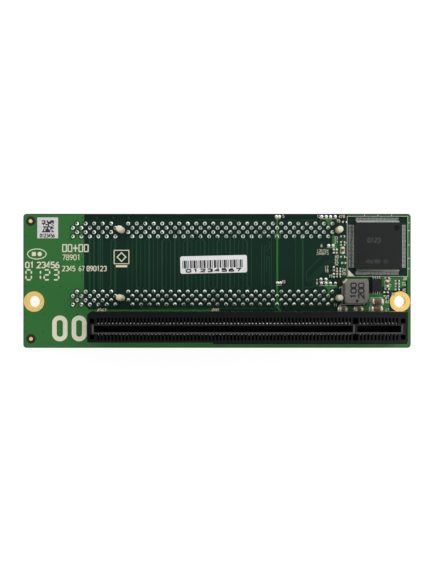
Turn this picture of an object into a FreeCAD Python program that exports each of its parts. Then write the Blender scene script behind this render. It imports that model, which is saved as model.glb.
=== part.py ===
import FreeCAD, Part
import math
import os
import Sketcher

# Riser card for a low server: a flat board with an x16 card slot on its front and two 32-bit card slots on
# its back. X runs along the board, Y across it towards the edge away from the x16 slot, and +Z is the way the
# front faces. The card lies on the mating faces of the two rear slots, at Z = 0, under the board's centre.

document = FreeCAD.newDocument("riser_card")

# Driving dimensions in millimetres, and counts
SIZES = (
    ("board_left", 11.03, "board past the rear slots at its left end"),
    ("board_width", 40.0, "circuit board along Y"),
    ("board_thickness", 1.6, "circuit board"),
    ("board_corner", 1.0, "radius of the board's corners"),
    ("mount_in", 3.2, "mounting holes from the board's ends"),
    ("mount_y", -6.2, "mounting holes from the board's centre line"),
    ("mount_hole", 3.5, "bore of a mounting hole"),
    ("mount_ring", 6.1, "outside of the plated ring round a mounting hole"),
    ("mount_ring_thickness", 0.05, "plated ring on the board's front"),
    ("peg_clearance", 0.1, "round each locating peg in its board hole"),
    ("pci_pitch", 1.27, "between neighbouring positions of a rear slot"),
    ("pci_count", 62, "positions of a rear slot, with the two under its key"),
    ("pci_key_count", 11, "positions before the key, from the left end"),
    ("pci_peg_count", 51, "pitches between the two locating pegs of a rear slot"),
    ("pci_upper_y", 15.16, "centre line of the upper rear slot"),
    ("pci_lower_y", -5.16, "centre line of the lower rear slot"),
    ("pci_end", 3.685, "rear slot housing past the last contact at each end"),
    ("pci_width", 8.4, "rear slot housing"),
    ("pci_height", 11.3, "rear slot housing, mating face to board"),
    ("pci_edge", 0.6, "bevel round the mating face of a rear slot"),
    ("pci_slot_width", 1.78, "card slot of a rear slot"),
    ("pci_slot_depth", 8.0, "card slot of a rear slot"),
    ("pci_slot_end", 1.35, "card slot past the last contact"),
    ("pci_key_bar", 1.7, "bar across a rear card slot"),
    ("pci_lead_in", 0.55, "bevel at the mouth of a rear card slot"),
    ("pci_peg_diameter", 2.0, "locating peg of a rear slot"),
    ("pci_peg_out", 2.6, "locating peg past the board's front face"),
    ("pci_peg_bevel", 0.4, "bevel at the tip of a locating peg"),
    ("pci_contact_width", 0.6, "contact of a rear slot, along X"),
    ("pci_contact_bow", 0.38, "how far a contact leans into the card slot"),
    ("pci_contact_bend", 3.0, "depth of the contact's bow below the mouth"),
    ("pci_contact_top", 1.3, "depth of the contact's tip below the mouth"),
    ("pci_row_step", 1.27, "between the four rows of tails"),
    ("joint_radius", 0.68, "solder cone round a rear slot's tail"),
    ("joint_height", 1.25, "solder cone with the tail's tip"),
    ("pcie_pitch", 1.0, "between neighbouring contacts of the x16 slot"),
    ("pcie_long_count", 71, "contacts a side left of the key"),
    ("pcie_short_count", 11, "contacts a side right of the key"),
    ("pcie_key_gap", 3.0, "between the contacts beside the key"),
    ("pcie_in", 4.9, "x16 slot from the board's right end"),
    ("pcie_y", -13.5, "centre line of the x16 slot"),
    ("pcie_width", 7.5, "x16 slot housing"),
    ("pcie_height", 11.25, "x16 slot housing above the board"),
    ("pcie_end", 3.0, "housing past the last contact at each end"),
    ("pcie_corner", 0.4, "rounding of the housing's upright edges"),
    ("pcie_slot_width", 1.8, "card slot of the x16 slot"),
    ("pcie_slot_depth", 8.3, "card slot of the x16 slot"),
    ("pcie_slot_end", 1.3, "card slot past the last contact"),
    ("pcie_key_bar", 1.2, "bar across the x16 card slot"),
    ("pcie_lead_in", 0.4, "bevel at the mouth of the x16 card slot"),
    ("pcie_cavity_width", 0.5, "contact cavity along X"),
    ("pcie_cavity_near", 1.4, "contact cavity's near wall from the centre line"),
    ("pcie_cavity_far", 3.14, "contact cavity's far wall from the centre line"),
    ("pcie_cavity_depth", 9.3, "contact cavity"),
    ("pcie_key_pocket", 1.5, "moulding pocket beside the key, along X"),
    ("pcie_end_pocket", 1.3, "square moulding pocket near each end"),
    ("pcie_end_pocket_in", 1.3, "centre of that pocket from the housing's end"),
    ("pcie_rail_out", 1.05, "stiffening rail beyond the housing's side"),
    ("pcie_rail_height", 3.5, "stiffening rail, from the top down"),
    ("pcie_rail_corner", 0.8, "bevel at the rail's left corner"),
    ("pcie_peg_diameter", 2.2, "locating peg of the x16 slot"),
    ("pcie_peg_out", 0.7, "locating peg past the board's back face"),
    ("pcie_peg_from_last", 1.5, "far peg from the last contact"),
    ("pcie_contact_width", 0.34, "contact of the x16 slot, along X"),
    ("pcie_contact_depth", 0.38, "contact of the x16 slot, along Y"),
    ("pcie_contact_drop", 0.7, "contact's tip below the housing's top"),
    ("pcie_inner_row", 1.25, "inner row of tails from the centre line"),
    ("pcie_outer_row", 3.25, "outer row of tails from the centre line"),
    ("tail_joint_base", 1.05, "solder round an x16 slot's tail"),
    ("tail_joint_height", 1.0, "solder with the tail's tip"),
    ("chip_gap", 2.73, "between the rear slots' right ends and the bridge chip's body"),
    ("chip_in", 3.0, "bridge chip's body from the board's right end"),
    ("chip_y", 10.3, "bridge chip"),
    ("chip_corner", 0.8, "bridge chip's body past its last lead, at each end of a side"),
    ("chip_thickness", 1.4, "bridge chip body"),
    ("chip_standoff", 0.1, "bridge chip body above the board"),
    ("chip_draft", 8.0, "slope of the chip's sides in degrees"),
    ("chip_dimple", 1.7, "round dimple in the chip's top"),
    ("chip_dimple_in", 1.65, "dimple from the chip's edges"),
    ("chip_dimple_depth", 0.1, "round dimple in the chip's top"),
    ("lead_pitch", 0.4, "between the bridge chip's leads"),
    ("lead_count", 32, "leads a side"),
    ("lead_width", 0.2, "bridge chip lead"),
    ("lead_length", 1.0, "bridge chip lead past the body"),
    ("lead_foot", 0.5, "flat foot of a bridge chip lead"),
    ("inductor_in", 16.8, "power inductor's centre from the board's right end"),
    ("inductor_y", -3.2, "power inductor"),
    ("inductor_length", 6.9, "power inductor along X"),
    ("inductor_width", 7.3, "power inductor along Y"),
    ("inductor_height", 3.0, "power inductor"),
    ("inductor_corner", 1.35, "bevelled corners over the terminals"),
    ("inductor_round", 0.8, "the other two corners"),
    ("inductor_edge", 0.25, "bevel round the inductor's top"),
    ("terminal_length", 1.6, "inductor terminal across the corner"),
    ("terminal_width", 0.45, "inductor terminal out of the corner"),
    ("terminal_height", 1.1, "inductor terminal"),
    ("regulator_in", 10.3, "regulator chip's centre from the board's right end"),
    ("regulator_y", -1.3, "regulator chip"),
    ("regulator_length", 3.0, "regulator body along X"),
    ("regulator_width", 3.9, "regulator body along Y"),
    ("regulator_height", 0.9, "regulator body"),
    ("regulator_edge", 0.12, "bevel round the regulator's top"),
    ("regulator_pitch", 0.65, "between the regulator's leads"),
    ("regulator_lead_count", 4, "leads a side"),
    ("regulator_lead_width", 0.3, "regulator lead"),
    ("regulator_lead_length", 0.5, "regulator lead past the body"),
    ("regulator_lead_height", 0.3, "regulator lead"),
    ("square_label_in", 7.3, "small sticker's centre from the board's left end"),
    ("square_label_y", 15.8, "small sticker"),
    ("square_label_side", 6.2, "small sticker"),
    ("long_label_x", -1.0, "oblong sticker"),
    ("long_label_y", 4.9, "oblong sticker"),
    ("long_label_length", 19.9, "oblong sticker"),
    ("long_label_width", 5.2, "oblong sticker"),
    ("long_label_turn", 1.3, "oblong sticker's slant in degrees"),
    ("long_label_corner", 0.35, "cut corners of the oblong sticker"),
    ("label_thickness", 0.1, "both stickers"),
)

# Facets of a solder cone on the front and of one on the back: few, because there are hundreds of them
JOINT_SIDES = 5
TAIL_JOINT_SIDES = 4

# Chip parts by size: length, width and height, in millimetres
SMALL_CHIP = (1.0, 0.5, 0.4)
MIDDLE_CHIP = (1.6, 0.8, 0.7)
MEDIUM_CHIP = (2.0, 1.25, 1.1)
LARGE_CHIP = (3.2, 1.6, 1.5)

# Centres of the chip parts on the front, from the board's right end and its centre line, with the turn in
# degrees
RESISTORS = (
    (-19.75, 17.55, 0),
    (-20.30, 13.25, 0),
    (-20.30, 11.55, 0),
    (-20.30, 10.70, 0),
    (-20.30, 7.15, 0),
    (-21.55, 3.60, 0),
    (-21.55, 1.25, 0),
    (-7.10, 0.80, 0),
    (-7.10, -2.40, 0),
    (-4.05, -0.05, 0),
    (-4.05, -1.70, 0),
    (-4.05, -2.60, 0),
    (-7.90, -3.95, 90),
    (-6.85, -3.95, 90),
)
SMALL_CAPACITORS = (
    (-23.00, 8.85, 90),
    (-22.10, 8.85, 90),
    (-20.00, 5.30, 0),
    (-21.55, 2.80, 0),
    (-21.55, 2.00, 0),
    (-22.95, 3.60, 90),
    (-22.95, 1.60, 90),
    (-4.05, -0.85, 0),
)
MIDDLE_CAPACITORS = (
    (-20.35, 9.10, 90),
    (-7.10, -0.80, 90),
)
MEDIUM_CAPACITORS = (
    (-20.35, -8.45, 0),
    (-15.60, -8.45, 0),
)
LARGE_CAPACITORS = (
    (-10.20, -6.20, 0),
    (-10.45, -8.45, 0),
)

sheet = document.addObject("Spreadsheet::Sheet", "Sizes")
for row, (alias, number, meaning) in enumerate(SIZES, start=1):
    sheet.set(f"A{row}", meaning)
    sheet.set(f"B{row}", str(number))
    sheet.setAlias(f"B{row}", alias)
document.recompute()


def value(expression):
    """The number that an expression over the sheet's names gives."""
    return float(sheet.evalExpression(expression))


def count(alias):
    """A whole number from the sheet."""
    return int(round(value(f"Sizes.{alias}")))


# Levels and places that several pieces share
BACK = "Sizes.pci_height"
FRONT = "(Sizes.pci_height + Sizes.board_thickness)"
PCI_HALF_FIELD = "((Sizes.pci_count - 1) / 2 * Sizes.pci_pitch)"
PCI_HALF = f"({PCI_HALF_FIELD} + Sizes.pci_end)"
PCI_KEY_X = "((Sizes.pci_key_count + 0.5 - (Sizes.pci_count - 1) / 2) * Sizes.pci_pitch)"
PCI_FAR_PEG_X = f"({PCI_KEY_X} + Sizes.pci_peg_count * Sizes.pci_pitch)"
PCIE_FIRST = "(Sizes.pcie_key_gap / 2)"
PCIE_LEFT_LAST = f"({PCIE_FIRST} + (Sizes.pcie_long_count - 1) * Sizes.pcie_pitch)"
PCIE_RIGHT_LAST = f"({PCIE_FIRST} + (Sizes.pcie_short_count - 1) * Sizes.pcie_pitch)"
PCIE_FAR_PEG_X = f"(-({PCIE_LEFT_LAST} + Sizes.pcie_peg_from_last))"
CHIP_HALF = "((Sizes.lead_count - 1) / 2 * Sizes.lead_pitch + Sizes.chip_corner)"
BOARD_RIGHT = f"(Sizes.chip_gap + 2 * {CHIP_HALF} + Sizes.chip_in)"
BOARD_HALF = f"((Sizes.board_left + {BOARD_RIGHT}) / 2 + {PCI_HALF})"
PCI_X = f"((Sizes.board_left - {BOARD_RIGHT}) / 2)"
PCIE_KEY_X = f"({BOARD_HALF} - Sizes.pcie_in - Sizes.pcie_end - {PCIE_RIGHT_LAST})"
CHIP_X = f"({BOARD_HALF} - Sizes.chip_in - {CHIP_HALF})"
MOUNT_X = f"({BOARD_HALF} - Sizes.mount_in)"


def new_body(label, x="0", y="0", z="0", turn=None):
    """A body with its label, placed by expressions."""
    body = document.addObject("PartDesign::Body", label)
    body.Label = label
    place(body, x, y, z)
    if turn:
        body.Placement.Rotation = FreeCAD.Rotation(FreeCAD.Vector(0, 0, 1), value(turn))
        body.setExpression(".Placement.Rotation.Angle", f"{turn} * 1 deg")
    return body


def place(item, x, y, z):
    """Binds an object's place to three expressions."""
    for axis, expression in zip("xyz", (x, y, z)):
        item.setExpression(f".Placement.Base.{axis}", f"({expression}) * 1 mm")


def flat_sketch(body, name, level="0"):
    """A sketch parallel to the body's own base plane, at a level above it."""
    sketch = body.newObject("Sketcher::SketchObject", name)
    plane = next(item for item in body.Origin.OriginFeatures if item.Role == "XY_Plane")
    sketch.AttachmentSupport = [(plane, "")]
    sketch.MapMode = "FlatFace"
    sketch.setExpression(".AttachmentOffset.Base.z", f"({level}) * 1 mm")
    return sketch


def tie(sketch, kind, geometry, point, expression):
    """Ties one coordinate of a point to an expression, on either side of the sketch's origin."""
    distance = value(expression)
    if distance < 0:
        constraint = Sketcher.Constraint(kind, geometry, point, -1, 1, -distance)
        expression = f"-({expression})"
    else:
        constraint = Sketcher.Constraint(kind, -1, 1, geometry, point, distance)
    index = sketch.addConstraint(constraint)
    sketch.setExpression(f"Constraints[{index}]", f"({expression}) * 1 mm")


def rectangle(sketch, left, bottom, right, top):
    """A rectangle whose four edges stand at the given expressions."""
    low = FreeCAD.Vector(value(left), value(bottom), 0)
    high = FreeCAD.Vector(value(right), value(top), 0)
    corners = (low, FreeCAD.Vector(high.x, low.y, 0), high, FreeCAD.Vector(low.x, high.y, 0))
    first = sketch.GeometryCount
    for step in range(4):
        sketch.addGeometry(Part.LineSegment(corners[step], corners[(step + 1) % 4]), False)
    for step in range(4):
        side = Sketcher.Constraint("Coincident", first + step, 2, first + (step + 1) % 4, 1)
        sketch.addConstraint(side)
    for step in (0, 2):
        sketch.addConstraint(Sketcher.Constraint("Horizontal", first + step))
        sketch.addConstraint(Sketcher.Constraint("Vertical", first + step + 1))
    tie(sketch, "DistanceX", first, 1, left)
    tie(sketch, "DistanceY", first, 1, bottom)
    tie(sketch, "DistanceX", first + 1, 2, right)
    tie(sketch, "DistanceY", first + 1, 2, top)


def circle(sketch, x, y, diameter):
    """A circle whose centre and diameter follow expressions; a centre at zero lies on the axis."""
    centre = FreeCAD.Vector(value(x), value(y), 0)
    axis = FreeCAD.Vector(0, 0, 1)
    index = sketch.addGeometry(Part.Circle(centre, axis, value(diameter) / 2), False)
    for kind, line, expression in (("DistanceX", -2, x), ("DistanceY", -1, y)):
        if expression == "0":
            sketch.addConstraint(Sketcher.Constraint("PointOnObject", index, 3, line))
        else:
            tie(sketch, kind, index, 3, expression)
    constraint = sketch.addConstraint(Sketcher.Constraint("Diameter", index, value(diameter)))
    sketch.setExpression(f"Constraints[{constraint}]", f"({diameter}) * 1 mm")


def pad(body, sketch, length, reverse=False, taper=None):
    """Raises a sketch by a length, down instead of up when reversed."""
    feature = body.newObject("PartDesign::Pad", "pad_" + sketch.Name)
    feature.Profile = sketch
    feature.Reversed = reverse
    feature.setExpression("Length", f"({length}) * 1 mm")
    if taper:
        feature.setExpression("TaperAngle", f"-({taper}) * 1 deg")
    document.recompute()
    return feature


def pocket(body, sketch, depth, upward=False):
    """Cuts a sketch into the body, and stops where nothing was cut."""
    before = body.Shape.Volume
    feature = body.newObject("PartDesign::Pocket", "pocket_" + sketch.Name)
    feature.Profile = sketch
    feature.Reversed = upward
    feature.setExpression("Length", f"({depth}) * 1 mm")
    document.recompute()
    if body.Shape.Volume > before - 1e-6:
        raise RuntimeError(f"{feature.Name} cuts nothing")
    return feature


def row_of(body, feature, number, length, reverse=False):
    """Repeats a feature along X over a length."""
    pattern = body.newObject("PartDesign::LinearPattern", "row_" + feature.Name)
    pattern.Originals = [feature]
    pattern.Direction = (feature.Profile[0], ["H_Axis"])
    pattern.Reversed = reverse
    pattern.setExpression("Length", f"({length}) * 1 mm")
    pattern.setExpression("Occurrences", number)
    body.Tip = pattern
    document.recompute()
    return pattern


def soften(body, kind, radius, chosen):
    """Bevels or rounds the edges of the body's tip that a test picks."""
    base = body.Tip
    names = [f"Edge{i}" for i, edge in enumerate(base.Shape.Edges, start=1) if chosen(edge)]
    if not names:
        raise RuntimeError(f"no edge of {body.Label} to soften")
    feature = body.newObject(f"PartDesign::{kind}", f"{kind}_{body.Name}")
    feature.Base = (base, names)
    feature.setExpression("Size" if kind == "Chamfer" else "Radius", f"({radius}) * 1 mm")
    document.recompute()
    return feature


def is_upright(edge):
    """Whether a straight edge runs along Z."""
    box = edge.BoundBox
    return box.XLength < 1e-6 and box.YLength < 1e-6


def lies_at(edge, level):
    """Whether an edge lies flat at one level."""
    return abs(edge.BoundBox.ZMin - level) < 1e-6 and abs(edge.BoundBox.ZMax - level) < 1e-6


def group(label, solids):
    """Like pieces that share one node, each a solid of its own."""
    feature = document.addObject("Part::Feature", label)
    feature.Label = label
    feature.Shape = Part.makeCompound(solids)
    feature.Placement = FreeCAD.Placement()
    return feature


def prism(points, direction):
    """A solid with a flat outline, drawn out along a direction."""
    outline = Part.makePolygon([FreeCAD.Vector(*point) for point in (*points, points[0])])
    return Part.Face(outline).extrude(FreeCAD.Vector(*direction))


def spike(radius, height, sides, turn=0.0):
    """A pyramid on a regular base at Z = 0, pointing up, or down for a height below zero."""
    ring = []
    for step in range(sides):
        angle = turn + 2 * math.pi * step / sides
        ring.append(FreeCAD.Vector(radius * math.cos(angle), radius * math.sin(angle), 0))
    tip = FreeCAD.Vector(0, 0, height)
    faces = [Part.Face(Part.makePolygon([*ring, ring[0]]))]
    for step in range(sides):
        following = ring[(step + 1) % sides]
        faces.append(Part.Face(Part.makePolygon([ring[step], following, tip, ring[step]])))
    solid = Part.makeSolid(Part.makeShell(faces))
    if solid.Volume < 0:
        solid.reverse()
    return solid


def moved(solid, x, y, z, turn=0.0):
    """A copy of a solid, turned about its own Z and set down at a place."""
    copy = solid.copy()
    rotation = FreeCAD.Rotation(FreeCAD.Vector(0, 0, 1), turn)
    copy.Placement = FreeCAD.Placement(FreeCAD.Vector(x, y, z), rotation)
    return copy


def build_board():
    """The laminate, with holes for the mounting screws and for every locating peg."""
    body = new_body("circuit_board", z=BACK)
    outline = flat_sketch(body, "board_outline")
    half_width = "Sizes.board_width / 2"
    rectangle(outline, f"-{BOARD_HALF}", f"-{half_width}", BOARD_HALF, half_width)
    pad(body, outline, "Sizes.board_thickness")
    soften(body, "Fillet", "Sizes.board_corner", is_upright)
    holes = flat_sketch(body, "board_holes")
    for mount_x in (MOUNT_X, f"-{MOUNT_X}"):
        circle(holes, mount_x, "Sizes.mount_y", "Sizes.mount_hole")
    pci_hole = "(Sizes.pci_peg_diameter + 2 * Sizes.peg_clearance)"
    for line in ("Sizes.pci_upper_y", "Sizes.pci_lower_y"):
        for peg_x in (PCI_KEY_X, PCI_FAR_PEG_X):
            circle(holes, f"{PCI_X} + {peg_x}", line, pci_hole)
    pcie_hole = "(Sizes.pcie_peg_diameter + 2 * Sizes.peg_clearance)"
    circle(holes, PCIE_KEY_X, "Sizes.pcie_y", pcie_hole)
    circle(holes, f"{PCIE_KEY_X} + {PCIE_FAR_PEG_X}", "Sizes.pcie_y", pcie_hole)
    pocket(body, holes, "Sizes.board_thickness", upward=True)


def build_mounting_rings():
    """The plated ring round each mounting hole, on the board's front."""
    thickness = value("Sizes.mount_ring_thickness")
    disc = Part.makeCylinder(value("Sizes.mount_ring / 2"), thickness)
    ring = disc.cut(Part.makeCylinder(value("Sizes.mount_hole / 2"), thickness))
    mount_x = value(MOUNT_X)
    line = value("Sizes.mount_y")
    level = value(FRONT)
    group("mounting_hole_rings", [moved(ring, x, line, level) for x in (-mount_x, mount_x)])


def build_pci_slot(side):
    """One rear slot housing, moulded in one with its pegs; its mating face is down."""
    label = f"pci_slot_housing_{side}"
    body = new_body(label, x=PCI_X, y=f"Sizes.pci_{side}_y")
    half_width = "Sizes.pci_width / 2"
    outline = flat_sketch(body, "outline_" + side)
    rectangle(outline, f"-{PCI_HALF}", f"-{half_width}", PCI_HALF, half_width)
    pad(body, outline, "Sizes.pci_height")
    soften(body, "Chamfer", "Sizes.pci_edge", lambda edge: lies_at(edge, 0))
    slots = flat_sketch(body, "card_slot_" + side)
    end = f"({PCI_HALF_FIELD} + Sizes.pci_slot_end)"
    half_slot = "Sizes.pci_slot_width / 2"
    rectangle(slots, f"-{end}", f"-{half_slot}", f"{PCI_KEY_X} - Sizes.pci_key_bar / 2", half_slot)
    rectangle(slots, f"{PCI_KEY_X} + Sizes.pci_key_bar / 2", f"-{half_slot}", end, half_slot)
    pocket(body, slots, "Sizes.pci_slot_depth", upward=True)
    mouth = value(half_slot) + 1e-6
    soften(body, "Chamfer", "Sizes.pci_lead_in",
           lambda edge: lies_at(edge, 0) and abs(edge.CenterOfMass.y) < mouth
           and abs(edge.CenterOfMass.x) < value(end) + 1e-6)
    pegs = flat_sketch(body, "pegs_" + side, "Sizes.pci_height")
    circle(pegs, PCI_KEY_X, "0", "Sizes.pci_peg_diameter")
    circle(pegs, PCI_FAR_PEG_X, "0", "Sizes.pci_peg_diameter")
    pad(body, pegs, "Sizes.board_thickness + Sizes.pci_peg_out")
    tip = value("Sizes.pci_height + Sizes.board_thickness + Sizes.pci_peg_out")
    soften(body, "Chamfer", "Sizes.pci_peg_bevel", lambda edge: lies_at(edge, tip))


def pci_positions():
    """Each position of a rear slot that has a contact, as its number and its X."""
    total = count("pci_count")
    key = count("pci_key_count")
    pitch = value("Sizes.pci_pitch")
    middle = value(PCI_X)
    for index in range(total):
        if index not in (key, key + 1):
            yield index, middle + (index - (total - 1) / 2) * pitch


def build_pci_contacts(side):
    """Spring contacts bowed into the card slot from both its walls."""
    half_slot = value("Sizes.pci_slot_width / 2")
    width = value("Sizes.pci_contact_width")
    top = value("Sizes.pci_contact_top")
    bend = value("Sizes.pci_contact_bend")
    floor = value("Sizes.pci_slot_depth")
    inside = half_slot - value("Sizes.pci_contact_bow")
    profile = ((-width / 2, half_slot, top), (-width / 2, inside, bend), (-width / 2, half_slot, floor))
    contact = prism(profile, (width, 0, 0))
    line = value(f"Sizes.pci_{side}_y")
    solids = []
    for _, x in pci_positions():
        solids.append(moved(contact, x, line, 0))
        solids.append(moved(contact, x, line, 0, 180))
    group(f"pci_slot_contacts_{side}", solids)


def build_pci_joints(side):
    """Solder cones on the front, in four rows that hold odd and even positions by turns."""
    cone = spike(value("Sizes.joint_radius"), value("Sizes.joint_height"), JOINT_SIDES)
    step = value("Sizes.pci_row_step")
    line = value(f"Sizes.pci_{side}_y")
    level = value(FRONT)
    solids = []
    for index, x in pci_positions():
        rows = (1.5, -0.5) if index % 2 else (0.5, -1.5)
        for row in rows:
            solids.append(moved(cone, x, line + row * step, level))
    group(f"pci_slot_solder_{side}", solids)


def build_pcie_housing():
    """The x16 slot housing: card slot with key, contact cavities, side rail and two pegs."""
    body = new_body("pcie_slot_housing", x=PCIE_KEY_X, y="Sizes.pcie_y", z=FRONT)
    left = f"-({PCIE_LEFT_LAST} + Sizes.pcie_end)"
    right = f"({PCIE_RIGHT_LAST} + Sizes.pcie_end)"
    half_width = "Sizes.pcie_width / 2"
    outline = flat_sketch(body, "pcie_outline")
    rectangle(outline, left, f"-{half_width}", right, half_width)
    pad(body, outline, "Sizes.pcie_height")
    low = -value(half_width)
    soften(body, "Fillet", "Sizes.pcie_corner",
           lambda edge: is_upright(edge) and abs(edge.CenterOfMass.y - low) < 1e-6)
    rail = flat_sketch(body, "pcie_rail", "Sizes.pcie_height - Sizes.pcie_rail_height")
    rail_edge = f"({half_width} + Sizes.pcie_rail_out)"
    rectangle(rail, left, half_width, right, rail_edge)
    pad(body, rail, "Sizes.pcie_rail_height")
    far = value(rail_edge)
    soften(body, "Chamfer", "Sizes.pcie_rail_corner",
           lambda edge: is_upright(edge) and abs(edge.CenterOfMass.y - far) < 1e-6
           and edge.CenterOfMass.x < 0)

    slots = flat_sketch(body, "pcie_card_slot", "Sizes.pcie_height")
    half_slot = "Sizes.pcie_slot_width / 2"
    half_bar = "Sizes.pcie_key_bar / 2"
    slot_left = f"-({PCIE_LEFT_LAST} + Sizes.pcie_slot_end)"
    slot_right = f"({PCIE_RIGHT_LAST} + Sizes.pcie_slot_end)"
    rectangle(slots, slot_left, f"-{half_slot}", f"-{half_bar}", half_slot)
    rectangle(slots, half_bar, f"-{half_slot}", slot_right, half_slot)
    pocket(body, slots, "Sizes.pcie_slot_depth")
    top = value("Sizes.pcie_height")
    mouth = value(half_slot) + 1e-6
    soften(body, "Chamfer", "Sizes.pcie_lead_in",
           lambda edge: lies_at(edge, top) and abs(edge.CenterOfMass.y) < mouth
           and value(slot_left) - 1e-6 < edge.CenterOfMass.x < value(slot_right) + 1e-6)

    pockets = flat_sketch(body, "pcie_moulding_pockets", "Sizes.pcie_height")
    near = "Sizes.pcie_cavity_near"
    far_wall = "Sizes.pcie_cavity_far"
    half_key = "Sizes.pcie_key_pocket / 2"
    half_end = "Sizes.pcie_end_pocket / 2"
    end_near = f"({near} + {far_wall} - Sizes.pcie_end_pocket) / 2"
    end_far = f"({near} + {far_wall} + Sizes.pcie_end_pocket) / 2"
    for centre in (f"({left} + Sizes.pcie_end_pocket_in)", f"({right} - Sizes.pcie_end_pocket_in)"):
        rectangle(pockets, f"{centre} - {half_end}", end_near, f"{centre} + {half_end}", end_far)
        rectangle(pockets, f"{centre} - {half_end}", f"-{end_far}", f"{centre} + {half_end}", f"-{end_near}")
    rectangle(pockets, f"-{half_key}", near, half_key, far_wall)
    rectangle(pockets, f"-{half_key}", f"-{far_wall}", half_key, f"-{near}")
    pocket(body, pockets, "Sizes.pcie_cavity_depth")

    half_cavity = "Sizes.pcie_cavity_width / 2"
    for name, sign, last, number in (
        ("pcie_cavities_long", "-", PCIE_LEFT_LAST, "Sizes.pcie_long_count"),
        ("pcie_cavities_short", "", PCIE_RIGHT_LAST, "Sizes.pcie_short_count"),
    ):
        cavities = flat_sketch(body, name, "Sizes.pcie_height")
        first_left = f"{sign}{PCIE_FIRST} - {half_cavity}"
        first_right = f"{sign}{PCIE_FIRST} + {half_cavity}"
        rectangle(cavities, first_left, near, first_right, far_wall)
        rectangle(cavities, first_left, f"-{far_wall}", first_right, f"-{near}")
        cut = pocket(body, cavities, "Sizes.pcie_cavity_depth")
        row_of(body, cut, number, f"{last} - {PCIE_FIRST}", reverse=bool(sign))

    pegs = flat_sketch(body, "pcie_pegs")
    circle(pegs, "0", "0", "Sizes.pcie_peg_diameter")
    circle(pegs, PCIE_FAR_PEG_X, "0", "Sizes.pcie_peg_diameter")
    pad(body, pegs, "Sizes.board_thickness + Sizes.pcie_peg_out", reverse=True)


def pcie_positions():
    """Each contact position of the x16 slot, as its number and its X."""
    key = value(PCIE_KEY_X)
    first = value(PCIE_FIRST)
    pitch = value("Sizes.pcie_pitch")
    for index in range(count("pcie_long_count")):
        yield index, key - first - index * pitch
    for index in range(count("pcie_short_count")):
        yield index + 1, key + first + index * pitch


def build_pcie_contacts():
    """Contacts that stand in their cavities, one node a row."""
    near = value("Sizes.pcie_cavity_near")
    width = value("Sizes.pcie_contact_width")
    depth = value("Sizes.pcie_contact_depth")
    floor = value("Sizes.pcie_height - Sizes.pcie_cavity_depth")
    tip = value("Sizes.pcie_height - Sizes.pcie_contact_drop")
    level = value(FRONT)
    line = value("Sizes.pcie_y")
    section = ((-width / 2, near, floor), (width / 2, near, floor), (0, near + depth, floor))
    contact = prism(section, (0, 0, tip - floor))
    for side, turn in (("upper", 0), ("lower", 180)):
        solids = [moved(contact, x, line, level, turn) for _, x in pcie_positions()]
        group(f"pcie_slot_contacts_{side}", solids)


def build_pcie_joints():
    """Solder round the x16 slot's tails on the back, each side's tails in two rows by turns."""
    half_diagonal = value("Sizes.tail_joint_base") / math.sqrt(2)
    cone = spike(half_diagonal, -value("Sizes.tail_joint_height"), TAIL_JOINT_SIDES, math.pi / 4)
    inner = value("Sizes.pcie_inner_row")
    outer = value("Sizes.pcie_outer_row")
    line = value("Sizes.pcie_y")
    level = value(BACK)
    solids = []
    for index, x in pcie_positions():
        upper, lower = (inner, -outer) if index % 2 else (outer, -inner)
        solids.append(moved(cone, x, line + upper, level))
        solids.append(moved(cone, x, line + lower, level))
    group("pcie_slot_solder", solids)


def build_bridge_chip():
    """The bridge chip's body, drafted both ways from its parting line, with a round dimple."""
    body = new_body("bridge_chip", CHIP_X, "Sizes.chip_y", f"{FRONT} + Sizes.chip_standoff")
    half_thickness = "Sizes.chip_thickness / 2"
    for name, downward in (("chip_upper_half", False), ("chip_lower_half", True)):
        outline = flat_sketch(body, name, half_thickness)
        rectangle(outline, f"-{CHIP_HALF}", f"-{CHIP_HALF}", CHIP_HALF, CHIP_HALF)
        pad(body, outline, half_thickness, reverse=downward, taper="Sizes.chip_draft")
    dimple = flat_sketch(body, "chip_dimple", "Sizes.chip_thickness")
    place_in = f"{CHIP_HALF} - Sizes.chip_dimple_in"
    circle(dimple, place_in, place_in, "Sizes.chip_dimple")
    pocket(body, dimple, "Sizes.chip_dimple_depth")


def build_bridge_leads():
    """The bridge chip's leads, from the parting line down to a foot on the board."""
    edge = value(CHIP_HALF)
    width = value("Sizes.lead_width")
    toe = edge + value("Sizes.lead_length")
    heel = toe - value("Sizes.lead_foot")
    middle = value("Sizes.chip_standoff + Sizes.chip_thickness / 2")
    profile = ((edge, -width / 2, middle), (toe, -width / 2, 0), (heel, -width / 2, 0))
    lead = prism(profile, (0, width, 0))
    total = count("lead_count")
    pitch = value("Sizes.lead_pitch")
    x = value(CHIP_X)
    y = value("Sizes.chip_y")
    level = value(FRONT)
    solids = []
    for index in range(total):
        shift = (index - (total - 1) / 2) * pitch
        slid = lead.copy()
        slid.translate(FreeCAD.Vector(0, shift, 0))
        for turn in (0, 90, 180, 270):
            turned = slid.copy()
            turned.rotate(FreeCAD.Vector(0, 0, 0), FreeCAD.Vector(0, 0, 1), turn)
            turned.translate(FreeCAD.Vector(x, y, level))
            solids.append(turned)
    group("bridge_chip_leads", solids)


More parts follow.
